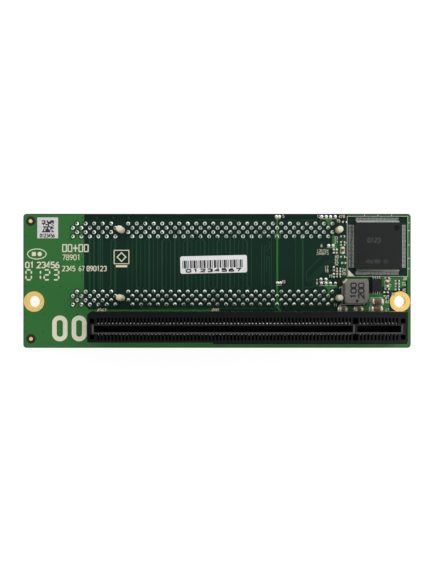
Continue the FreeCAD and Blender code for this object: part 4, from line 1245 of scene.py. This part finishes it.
class RISER_OT_power_parts(bpy.types.Operator):
    """Finish the inductor and the regulator"""

    bl_idname = "riser.power_parts"
    bl_label = "Power Parts"

    def execute(self, context):
        dress("power_inductor", pressed_iron)
        dress("power_inductor_terminals", dipped_terminal)
        dress("regulator_chip", moulded_epoxy)
        marks = Shell(INDUCTOR_HIGH.z, INDUCTOR_HIGH.z + 0.01)
        marks.number("100", 40.75, -5.15, 1.55, 0.44, 90, 0.8)
        marks.number("200", 43.0, -5.15, 1.55, 0.44, 90, 0.8)
        marks.prism(circle_of(41.0, -5.95, 0.6, 4))
        piece = marks.build("power_inductor_marking", [black_ink])

        path = [(-0.15, 0.42), (0.1, 0.42), (0.18, 0.38), (0.26, 0.14), (0.32, 0.08), (0.5, 0.08)]
        leads, pads = gull_wings("regulator_chip", "regulator_leads", path, (0.24, 0.14), (0.2, 0.78, 0.14))
        piece = leads.build("regulator_gull_wings", [tinned_lead], 50)
        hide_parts("regulator_leads")
        piece = pads.build("regulator_pads", [reflowed_solder])
        return {"FINISHED"}


# Pairs of small tinned pads with nothing on them, as the centre of each pad
BARE_PADS = (
    (31.3, 19.2), (32.6, 19.2), (33.9, 19.2), (35.3, 19.2), (33.35, 10.55), (34.65, 10.55), (31.05, 0.45),
    (32.55, 0.45), (31.2, -0.75), (32.55, -0.75), (33.9, -0.75), (35.35, -0.75), (17.75, 19.2), (18.65, 19.2),
    (18.05, -0.65), (18.95, -0.65),
)


class RISER_OT_chip_parts(bpy.types.Operator):
    """Build the chip resistors and capacitors with their plated ends, pads and solder"""

    bl_idname = "riser.chip_parts"
    bl_label = "Chip Parts"

    def execute(self, context):
        pads, fillets = Shell(), Shell()
        for node, maker, slot, cap, reach in (
            ("chip_resistors", resistor_glaze, "resistor_body", 0.22, 0.28),
            ("small_capacitors", fired_ceramic, "capacitor_ceramic", 0.24, 0.28),
            ("middle_capacitors", fired_ceramic, "capacitor_ceramic", 0.35, 0.35),
            ("medium_capacitors", fired_ceramic, "capacitor_ceramic", 0.45, 0.55),
            ("large_capacitors", fired_ceramic, "capacitor_ceramic", 0.55, 0.6),
        ):
            shell = Shell()
            for low, high in solids_of(node):
                self.part(shell, pads, fillets, low, high, cap, reach, node == "chip_resistors")
            piece = shell.build(node.replace("chip_", "") + "_plated", [maker, plated_end], 50)
            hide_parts(node)
        dome = ((0.47, FRONT), (0.47, FRONT + 0.04), (0.34, FRONT + 0.13), (0.16, FRONT + 0.2))
        for x, y in BARE_PADS:
            pads.lathe(x, y, dome, 16)
        piece = pads.build("small_part_pads", [reflowed_solder], 60)
        piece = fillets.build("small_part_solder", [reflowed_solder], 60)
        return {"FINISHED"}

    def part(self, shell, pads, fillets, low, high, cap, reach, resistor):
        """One part between two corners, lying along X or Y."""
        centre = (low + high) / 2
        size = high - low
        lengthwise = size.x > size.y
        length, width = (size.x, size.y) if lengthwise else (size.y, size.x)
        height = size.z
        bevel = 0.05 * width + 0.02

        def place(out, side, level):
            if lengthwise:
                return (centre.x + out, centre.y + side, FRONT + level)
            return (centre.x - side, centre.y + out, FRONT + level)

        lift, end = 0.03, length / 2
        # The body is lower than the plated ends on a capacitor, and higher on a resistor
        body_top, cap_top = (height, height - 0.03) if resistor else (height - 0.03, height)
        shell.block(place(cap - end - 0.03, 0.02 - width / 2, lift + 0.02),
                    place(end - cap + 0.03, width / 2 - 0.02, body_top), bevel / 2)
        for sign in (1, -1):
            shell.block(place(sign * end, -width / 2, lift), place(sign * (end - cap), width / 2, cap_top),
                        bevel, 1)
            # The pad, drawn to a blunt point on the larger parts, and the solder that climbs the plated end
            half = width / 2 + 0.06
            nose = half * (0.3 if length > 1.9 else 0.55)
            corners = [(end - cap - 0.05, -half), (end + reach * 0.35, -half), (end + reach, -nose),
                       (end + reach, nose), (end + reach * 0.35, half), (end - cap - 0.05, half)]
            pads.skin([[place(sign * out, side, level) for out, side in corners] for level in (0.0, 0.05)])
            foot, climb = 0.04, height * 0.62
            profile = [(-0.03, foot), (reach * 0.92, foot), (reach * 0.6, 0.1), (reach * 0.3, climb * 0.35),
                       (reach * 0.1, climb * 0.75), (-0.03, climb)]
            rings = []
            for side, share in ((-1, 0.55), (-0.6, 0.9), (0.6, 0.9), (1, 0.55)):
                aside = side * (width / 2 - 0.03)
                rings.append([place(sign * (end + out * share), aside, foot + (level - foot) * share)
                              for out, level in profile])
            fillets.skin(rings)


class RISER_OT_stickers(bpy.types.Operator):
    """Finish the two stickers with plain bars, blocks and digits"""

    bl_idname = "riser.stickers"
    bl_label = "Stickers"

    def execute(self, context):
        dress("square_label", flux_dulled_paper)
        dress("long_label", sticker_paper)
        marks = Shell()
        self.blocks(marks)
        self.bars(marks)
        piece = marks.build("sticker_print", [black_ink])
        return {"FINISHED"}

    def blocks(self, marks):
        """The square sticker's print: blocks set out at random over a row of small digits."""
        low, high = box_of("square_label")
        centre = (low + high) / 2
        marks.base, marks.top = high.z, high.z + LABEL_INK
        chance = random.Random(3)
        block, count = 0.36, 10
        for row in range(count):
            for column in range(count):
                if chance.random() < 0.66:
                    x = centre.x + 0.05 + (column - count / 2) * block
                    y = centre.y + 0.45 + (row - count / 2) * block
                    marks.prism([(x, y), (x + block, y), (x + block, y + block), (x, y + block)],
                                lift=2 * SLIVER * ((row + column) % 2))
        marks.number("0123456", centre.x - 2.25, low.y + 0.3, 0.95, 0.24, width=0.45)

    def bars(self, marks):
        """The oblong sticker's print: bars of four widths in a plain repeating order over spaced digits."""
        low, high = box_of("long_label")
        centre = (low + high) / 2
        marks.base, marks.top = high.z, high.z + LABEL_INK
        x, base, head = centre.x - 9.3, centre.y - 1.05, centre.y + 1.3
        for step in range(60):
            wide = (0.2, 0.62, 0.3, 0.2, 0.46)[step % 5]
            gap = (0.2, 0.16, 0.24, 0.36)[step % 4]
            if x + wide > centre.x + 9.35:
                break
            bar = [(x, base), (x + wide, base), (x + wide, head), (x, head)]
            marks.prism(turned(bar, centre.x, centre.y, LABEL_SLANT))
            x += wide + gap
        for place, digit in enumerate("01234567"):
            x = centre.x - 8.2 + place * 2.13
            for path in DIGITS[digit]:
                points = [(x + px * 0.66, centre.y - 2.15 + py * 0.2) for px, py in path]
                marks.band(turned(points, centre.x, centre.y, LABEL_SLANT), 0.36)


# The stage

class RISER_OT_stage(bpy.types.Operator):
    """Set the floor, the lamps, the world and the camera"""

    bl_idname = "riser.stage"
    bl_label = "Stage"

    def execute(self, context):
        settings = context.scene.riser_stage
        scene = context.scene
        scene.view_settings.view_transform = "Standard"
        self.floor()
        self.world(scene)
        self.lamp("key_lamp", (0.16, 0.36, 0.33), 0.35, settings.key_power)
        self.lamp("fill_lamp", (0.36, -0.2, 0.33), 0.35, settings.fill_power)
        camera = bpy.data.objects.new("camera", bpy.data.cameras.new("camera"))
        camera.data.sensor_fit = "VERTICAL"
        camera.data.sensor_height = 36
        camera.data.lens = settings.focal_length
        camera.data.clip_start = 0.001
        camera.location = (CAMERA_X, CAMERA_Y, settings.camera_height)
        scene.collection.objects.link(camera)
        scene.camera = camera
        return {"FINISHED"}

    def floor(self):
        """A pale sheet under the card, white to the camera where no shadow falls on it."""
        sheet = bpy.data.meshes.new("floor")
        reach, level = 2.0, -1e-5
        corners = [(x * reach, y * reach, level) for x, y in ((-1, -1), (1, -1), (1, 1), (-1, 1))]
        sheet.from_pydata(corners, [], [(0, 1, 2, 3)])
        floor = bpy.data.objects.new("floor", sheet)
        bpy.context.scene.collection.objects.link(floor)
        material = bpy.data.materials.new("white_paper_sweep")
        material.use_nodes = True
        tree = material.node_tree
        tree.nodes.clear()
        path = add(tree, "ShaderNodeLightPath")
        seen = add(tree, "ShaderNodeMath", {
            0: path.outputs["Is Camera Ray"], 1: path.outputs["Is Glossy Ray"],
        }, operation="MAXIMUM")
        seen = add(tree, "ShaderNodeMath", {0: seen.outputs["Value"], 1: path.outputs["Is Transmission Ray"]},
                   operation="MAXIMUM")
        paper = add(tree, "ShaderNodeBsdfDiffuse", {"Color": linear("#c8c8c6")})
        lifted = add(tree, "ShaderNodeBsdfDiffuse", {"Color": linear("#9a9a9a")})
        glow = add(tree, "ShaderNodeEmission", {"Color": (1, 1, 1, 1), "Strength": 0.78})
        white = add(tree, "ShaderNodeAddShader", {0: lifted.outputs["BSDF"], 1: glow.outputs["Emission"]})
        mix = add(tree, "ShaderNodeMixShader", {
            "Fac": seen.outputs["Value"], 1: paper.outputs["BSDF"], 2: white.outputs["Shader"],
        })
        add(tree, "ShaderNodeOutputMaterial", {"Surface": mix.outputs["Shader"]})
        sheet.materials.append(material)

    def world(self, scene):
        """Even soft light; what reflects it shows bright sides and a darker ceiling, and the camera sees
        white."""
        world = bpy.data.worlds.new("studio")
        world.use_nodes = True
        scene.world = world
        tree = world.node_tree
        tree.nodes.clear()
        path = add(tree, "ShaderNodeLightPath")
        way = add(tree, "ShaderNodeTexCoord").outputs["Generated"]
        up = add(tree, "ShaderNodeSeparateXYZ", {"Vector": way}).outputs["Z"]
        ceiling = add(tree, "ShaderNodeMapRange", {
            "Value": up, "From Min": 0.55, "From Max": 0.8, "To Min": 1.8, "To Max": 0.04,
        }, interpolation_type="SMOOTHSTEP")
        sides, soft, white = (
            add(tree, "ShaderNodeBackground", {"Color": (1, 1, 1, 1), "Strength": strength})
            for strength in (ceiling.outputs["Result"], 0.72, 1.0))
        mirrored = add(tree, "ShaderNodeMath", {
            0: path.outputs["Is Glossy Ray"], 1: path.outputs["Is Transmission Ray"],
        }, operation="MAXIMUM")
        reflected = add(tree, "ShaderNodeMixShader", {
            "Fac": mirrored.outputs["Value"], 1: soft.outputs["Background"], 2: sides.outputs["Background"],
        })
        seen = add(tree, "ShaderNodeMixShader", {
            "Fac": path.outputs["Is Camera Ray"], 1: reflected.outputs["Shader"],
            2: white.outputs["Background"],
        })
        add(tree, "ShaderNodeOutputWorld", {"Surface": seen.outputs["Shader"]})

    def lamp(self, name, place, size, power):
        """A soft square lamp that faces the card."""
        data = bpy.data.lights.new(name, "AREA")
        data.shape = "SQUARE"
        data.size = size
        data.energy = power
        lamp = bpy.data.objects.new(name, data)
        lamp.location = place
        lamp.rotation_euler = (-Vector(place)).to_track_quat("-Z", "Y").to_euler()
        bpy.context.scene.collection.objects.link(lamp)


# Panel and registration

OPERATORS = (
    RISER_OT_stage,
    RISER_OT_board,
    RISER_OT_holes,
    RISER_OT_print,
    RISER_OT_rear_slots,
    RISER_OT_solder,
    RISER_OT_front_slot,
    RISER_OT_bridge_chip,
    RISER_OT_power_parts,
    RISER_OT_chip_parts,
    RISER_OT_stickers,
)

SETTINGS = {
    "riser_board": RiserBoardSettings,
    "riser_slots": RiserSlotSettings,
    "riser_parts": RiserPartSettings,
    "riser_stage": RiserStageSettings,
}


class RISER_PT_panel(bpy.types.Panel):
    """The settings and the steps, in the 3D view's sidebar"""

    bl_idname = "RISER_PT_panel"
    bl_label = "Riser Card"
    bl_space_type = "VIEW_3D"
    bl_region_type = "UI"
    bl_category = "Riser Card"

    def draw(self, context):
        for name, group in SETTINGS.items():
            settings = getattr(context.scene, name)
            column = self.layout.column(align=True)
            for entry in group.__annotations__:
                column.prop(settings, entry)
        for operator in OPERATORS:
            self.layout.operator(operator.bl_idname)


def register():
    for cls in (*SETTINGS.values(), *OPERATORS, RISER_PT_panel):
        bpy.utils.register_class(cls)
    for name, group in SETTINGS.items():
        setattr(bpy.types.Scene, name, PointerProperty(type=group))


def unregister():
    for name in SETTINGS:
        delattr(bpy.types.Scene, name)
    for cls in (RISER_PT_panel, *reversed(OPERATORS), *reversed(SETTINGS.values())):
        bpy.utils.unregister_class(cls)


def main():
    register()
    for operator in OPERATORS:
        group, name = operator.bl_idname.split(".")
        getattr(getattr(bpy.ops, group), name)()


if __name__ == "__main__":
    main()
